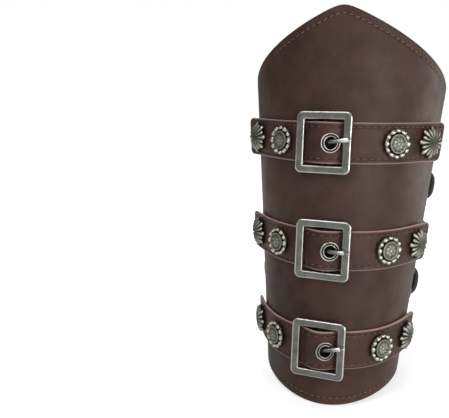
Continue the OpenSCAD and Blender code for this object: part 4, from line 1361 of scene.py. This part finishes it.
knot_parts = [braid(knot_strand(way), LACE_D / 2 - 0.02) for way in (1, -1)]
shape = joined([(points, faces, {}) for points, faces, _ in knot_parts])
uv_corners = np.concatenate([corner_uv(faces, uv) for _, faces, uv in knot_parts])
put_piece("tied_knot", shape, black_cord, instead_of=("lace_knot",),
          corner_map=uv_corners)

# %% [markdown]
# ## Finishes for the solids that stay
# The centre bars, the screws behind the conchos and the lace's tips already have the right shape.
# New meshes could replace them too, but nothing would show, so they keep their CAD meshes and only
# get a metal.

# %% Metal on the kept solids
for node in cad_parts:
    if node.startswith(("centre_bar", "concho_screws", "lace_tips")):
        metal = black_steel if node.startswith("centre_bar") else dark_steel
        for slot in bpy.data.objects[node].material_slots:
            slot.material = metal
        print(node, "wears", metal.name)

# %% [markdown]
# ## Floor and light
# The bracer stands on plain white paper under soft light. A low lamp in front and to the right
# gives the leather its lighter right side, a higher and weaker one fills from the front, two weak
# ones further back edge the silhouettes, and one hangs over the opening. A sky picture would light
# it too, but lamps can be placed. The paper glows a little, for the camera and in reflections only
# and more so further away, which keeps it white up to the horizon while the shadow still shows.

# %% White paper
paper, tree, shader = new_material("white_paper")
shader.inputs["Base Color"].default_value = (0.86, 0.86, 0.86, 1.0)
shader.inputs["Roughness"].default_value = 0.9
seen = add(tree, "ShaderNodeLightPath").outputs
flat = add(tree, "ShaderNodeVectorMath", {0: object_place(tree), 1: (1.0, 1.0, 0.0)},
           operation="MULTIPLY").outputs[0]
away = add(tree, "ShaderNodeVectorMath", {0: flat}, operation="LENGTH").outputs["Value"]
whiter = between(tree, away, 0.1, 0.7, 0.45, 1.0)
glow = add(tree, "ShaderNodeEmission", {"Color": (1, 1, 1, 1)})
mirrored = sums(tree, "MULTIPLY", seen["Is Glossy Ray"], 0.6)
shown = sums(tree, "MAXIMUM", seen["Is Camera Ray"], mirrored)
tree.links.new(sums(tree, "MULTIPLY", shown, whiter), glow.inputs["Strength"])
both = add(tree, "ShaderNodeAddShader", {0: shader.outputs[0], 1: glow.outputs[0]})
tree.links.new(both.outputs[0], tree.nodes["Material Output"].inputs["Surface"])

FLOOR_Z = -0.0006
mesh = bpy.data.meshes.new("paper_floor")
corners = [(x, y, FLOOR_Z) for x, y in ((-4, -4), (4, -4), (4, 6), (-4, 6))]
mesh.from_pydata(corners, [], [(0, 1, 2, 3)])
mesh.materials.append(paper)
floor = bpy.data.objects.new("paper_floor", mesh)
bpy.context.scene.collection.objects.link(floor)

# %% Surroundings and lamps
world = bpy.data.worlds.new("white_studio")
bpy.context.scene.world = world
world.use_nodes = True
tree = world.node_tree
tree.nodes.clear()
shown = add(tree, "ShaderNodeLightPath").outputs["Is Camera Ray"]
white = add(tree, "ShaderNodeBackground", {"Color": (1, 1, 1, 1), "Strength": 1.0})
soft = add(tree, "ShaderNodeBackground", {"Color": (1, 1, 1, 1), "Strength": 0.15})
either = add(tree, "ShaderNodeMixShader", {0: shown, 1: soft.outputs[0], 2: white.outputs[0]})
add(tree, "ShaderNodeOutputWorld", {"Surface": either.outputs[0]})


def soft_lamp(name, place, aim, size, power):
    """A square area lamp at a place in metres, its matrix turned so that -Z looks at its aim."""
    lamp = bpy.data.objects.new(name, bpy.data.lights.new(name, "AREA"))
    lamp.data.size, lamp.data.energy = size, power
    back = unit(np.array(place, float) - np.array(aim, float))
    side = unit(np.cross((0.0, 0.0, 1.0), back))
    lamp.matrix_world = turned_to(side, np.cross(back, side), back, place)
    bpy.context.scene.collection.objects.link(lamp)


soft_lamp("key", (0.95, -0.85, 0.12), (0, 0, 0.04), 0.7, 15.5)
soft_lamp("fill", (-0.3, -1.0, 0.95), (0, 0, 0.14), 0.8, 10)
soft_lamp("right_rim", (0.95, 0.6, 0.1), (0, 0, 0.02), 0.6, 4.5)
soft_lamp("left_rim", (-0.15, 1.2, 0.6), (0, 0, 0.06), 0.5, 5)
soft_lamp("top", (0.0, 0.1, 1.3), (0, 0, 0.1), 0.9, 4)
bpy.context.scene.view_settings.view_transform = "Standard"
